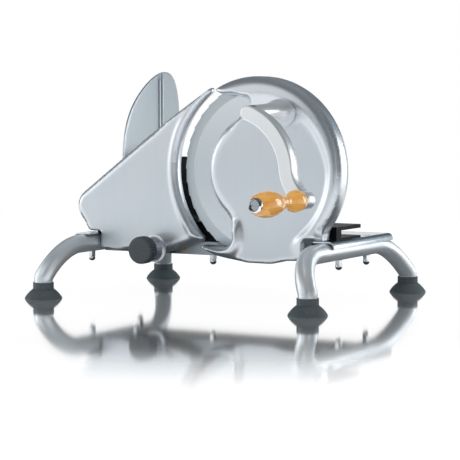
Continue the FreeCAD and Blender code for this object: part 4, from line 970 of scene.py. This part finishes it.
white = (1, 1, 1, 1)
studio = {
    "world": 0.62, "worldTint": (0.97, 0.985, 1.0, 1), "cardTint": (0.74, 0.90, 1.0),
    "floorHalf": 9, "floorTone": 0.80, "floorLift": 0.50,
    "whiteFrom": 0.5, "whiteTo": 1.5,     # distances from the middle
    "polish": 0.07, "mirrorNear": 0.97, "mirrorFrom": 0.36, "mirrorTo": 0.70,
    "grazeFrom": 0.76, "grazeTo": 0.87,     # 1 is a sight line along the floor
}
lamps = {     # place, aim, width and height, power
    "keyLamp": ((-1.7, -0.5, 0.6), (0, 0, 0.12), (1.3, 1.0), 5.0),
    "fillLamp": ((2.2, -1.2, 1.6), (0, 0, 0.1), (1.4, 1.4), 6.0),
    "rimLamp": ((0.57, 0.62, 0.24), (0.13, -0.05, 0.15), (0.2, 0.4), 0.95),
    "topLamp": ((0.1, 0.5, 2.6), (0, 0, 0.1), (2.0, 1.6), 17.0),
}
cards = {     # middle, half the width, half the height, tone
    "cardRight": ((0.95, -0.33, 0.55), (0, -0.43, 0), (0, 0, 0.55), 0.07),
    "cardFront": ((0.55, -1.15, 0.55), (-0.62, 0, 0), (0, 0, 0.55), 0.14),
    "cardLeft": ((-0.55, -1.0, 0.08), (-0.45, 0.05, 0), (0, 0, 0.08), 0.42),
    "cardLow": ((0.0, 0.13, 0.002), (0.45, 0, 0), (0, 0.20, 0), 0.05),
    "cardBack": ((0.35, 0.85, 0.4), (0, -0.38, 0), (0, 0, 0.4), 0.40),
    "cardBackLeft": ((-2.48, 1.37, 0.75), (0.475, 0.855, 0), (0, 0, 0.75), 0.12),
    "cardTop": ((0.0, 1.65, 0.92), (-3.0, 0, 0), (0, 2.85, 0), 0.14),
}


def seenDirectly(tree):
    # 1 for what the camera, a reflection or glass sees, 0 for soft light on other things
    path = tree.nodes.new("ShaderNodeLightPath")
    either = mathOf(tree, "MAXIMUM", path.outputs["Is Camera Ray"], path.outputs["Is Glossy Ray"])
    return mathOf(tree, "MAXIMUM", either, path.outputs["Is Transmission Ray"])


def setWorld():
    world = bpy.data.worlds.new("studioWorld")
    bpy.context.scene.world = world
    world.use_nodes = True
    tree = world.node_tree
    tree.nodes.clear()
    out = tree.nodes.new("ShaderNodeOutputWorld")
    soft = addNode(tree, "ShaderNodeBackground", Color=studio["worldTint"], Strength=studio["world"])
    plain = addNode(tree, "ShaderNodeBackground", Color=white, Strength=1.0)
    mix = mixOf(tree, seenDirectly(tree), soft, plain)
    tree.links.new(mix.outputs[0], out.inputs["Surface"])


def softLamp(name, place, aim, size, power):
    data = bpy.data.lights.new(name, "AREA")
    data.shape = "RECTANGLE"
    data.size, data.size_y = size
    data.energy = power
    lamp = bpy.data.objects.new(name, data)
    lamp.location = place
    lamp.rotation_euler = (Vector(aim) - Vector(place)).to_track_quat("-Z", "Y").to_euler()
    bpy.context.collection.objects.link(lamp)


def fadeOf(tree, value, name, low, high):
    return rangeOf(tree, value, low, high, studio[name + "From"], studio[name + "To"], "SMOOTHSTEP")


def floorMaterial():
    material, tree, shader = newMaterial("studioFloor")
    tree.nodes.remove(shader)
    matt = addNode(tree, "ShaderNodeBsdfDiffuse", Color=(studio["floorTone"],) * 3 + (1,))
    lift = addNode(tree, "ShaderNodeEmission", Color=white)
    lifted = mathOf(tree, "MULTIPLY", seenDirectly(tree), studio["floorLift"])
    tree.links.new(lifted, lift.inputs["Strength"])
    plain = tree.nodes.new("ShaderNodeAddShader")
    tree.links.new(matt.outputs[0], plain.inputs[0])
    tree.links.new(lift.outputs[0], plain.inputs[1])
    polish = addNode(tree, "ShaderNodeBsdfGlossy", Color=white, Roughness=studio["polish"])
    bright = addNode(tree, "ShaderNodeEmission", Color=white, Strength=1.0)
    # with the distance from the middle the polish fades and the floor turns white
    coords = tree.nodes.new("ShaderNodeNewGeometry")
    distance = vectorOf(tree, "LENGTH", coords.outputs["Position"])
    mirror = fadeOf(tree, distance, "mirror", studio["mirrorNear"], 0.0)
    whiter = fadeOf(tree, distance, "white", 0.0, 1.0)
    # only a low sight line sees the polish
    sight = addNode(tree, "ShaderNodeLayerWeight", Blend=0.5)
    polished = mathOf(tree, "MULTIPLY", mirror, fadeOf(tree, sight.outputs["Facing"], "graze", 0.0, 1.0))
    mix = mixOf(tree, polished, mixOf(tree, whiter, plain, bright), polish)
    tree.links.new(mix.outputs[0], tree.nodes["Material Output"].inputs["Surface"])
    return material


def flatSheet(name, corners, material):
    mesh = bpy.data.meshes.new(name)
    mesh.from_pydata([Vector(c) for c in corners], [], [tuple(range(len(corners)))])
    mesh.materials.append(material)
    sheet = bpy.data.objects.new(name, mesh)
    bpy.context.collection.objects.link(sheet)
    return sheet


def shadeCard(name, centre, across, up, tone):
    # a dark card that only reflections see; its back lets light and sight through
    material, tree, shader = newMaterial(name + "Paint")
    tree.nodes.remove(shader)
    tint = (*[tone * c for c in studio["cardTint"]], 1)
    glow = addNode(tree, "ShaderNodeEmission", Color=tint, Strength=1.0)
    clear = tree.nodes.new("ShaderNodeBsdfTransparent")
    side = tree.nodes.new("ShaderNodeNewGeometry")
    mix = mixOf(tree, side.outputs["Backfacing"], glow, clear)
    tree.links.new(mix.outputs[0], tree.nodes["Material Output"].inputs["Surface"])
    c, a, u = Vector(centre), Vector(across), Vector(up)
    card = flatSheet(name, (c - a - u, c + a - u, c + a + u, c - a + u), material)
    card.visible_camera = False
    card.visible_diffuse = False
    card.visible_shadow = False


def setStudio():
    setWorld()
    for name, values in lamps.items():
        softLamp(name, *values)
    half = studio["floorHalf"]
    corners = ((-half, -half, 0), (half, -half, 0), (half, half, 0), (-half, half, 0))
    floor = flatSheet("floor", corners, floorMaterial())
    for name, values in cards.items():
        shadeCard(name, *values)


setStudio()
print("studio set")
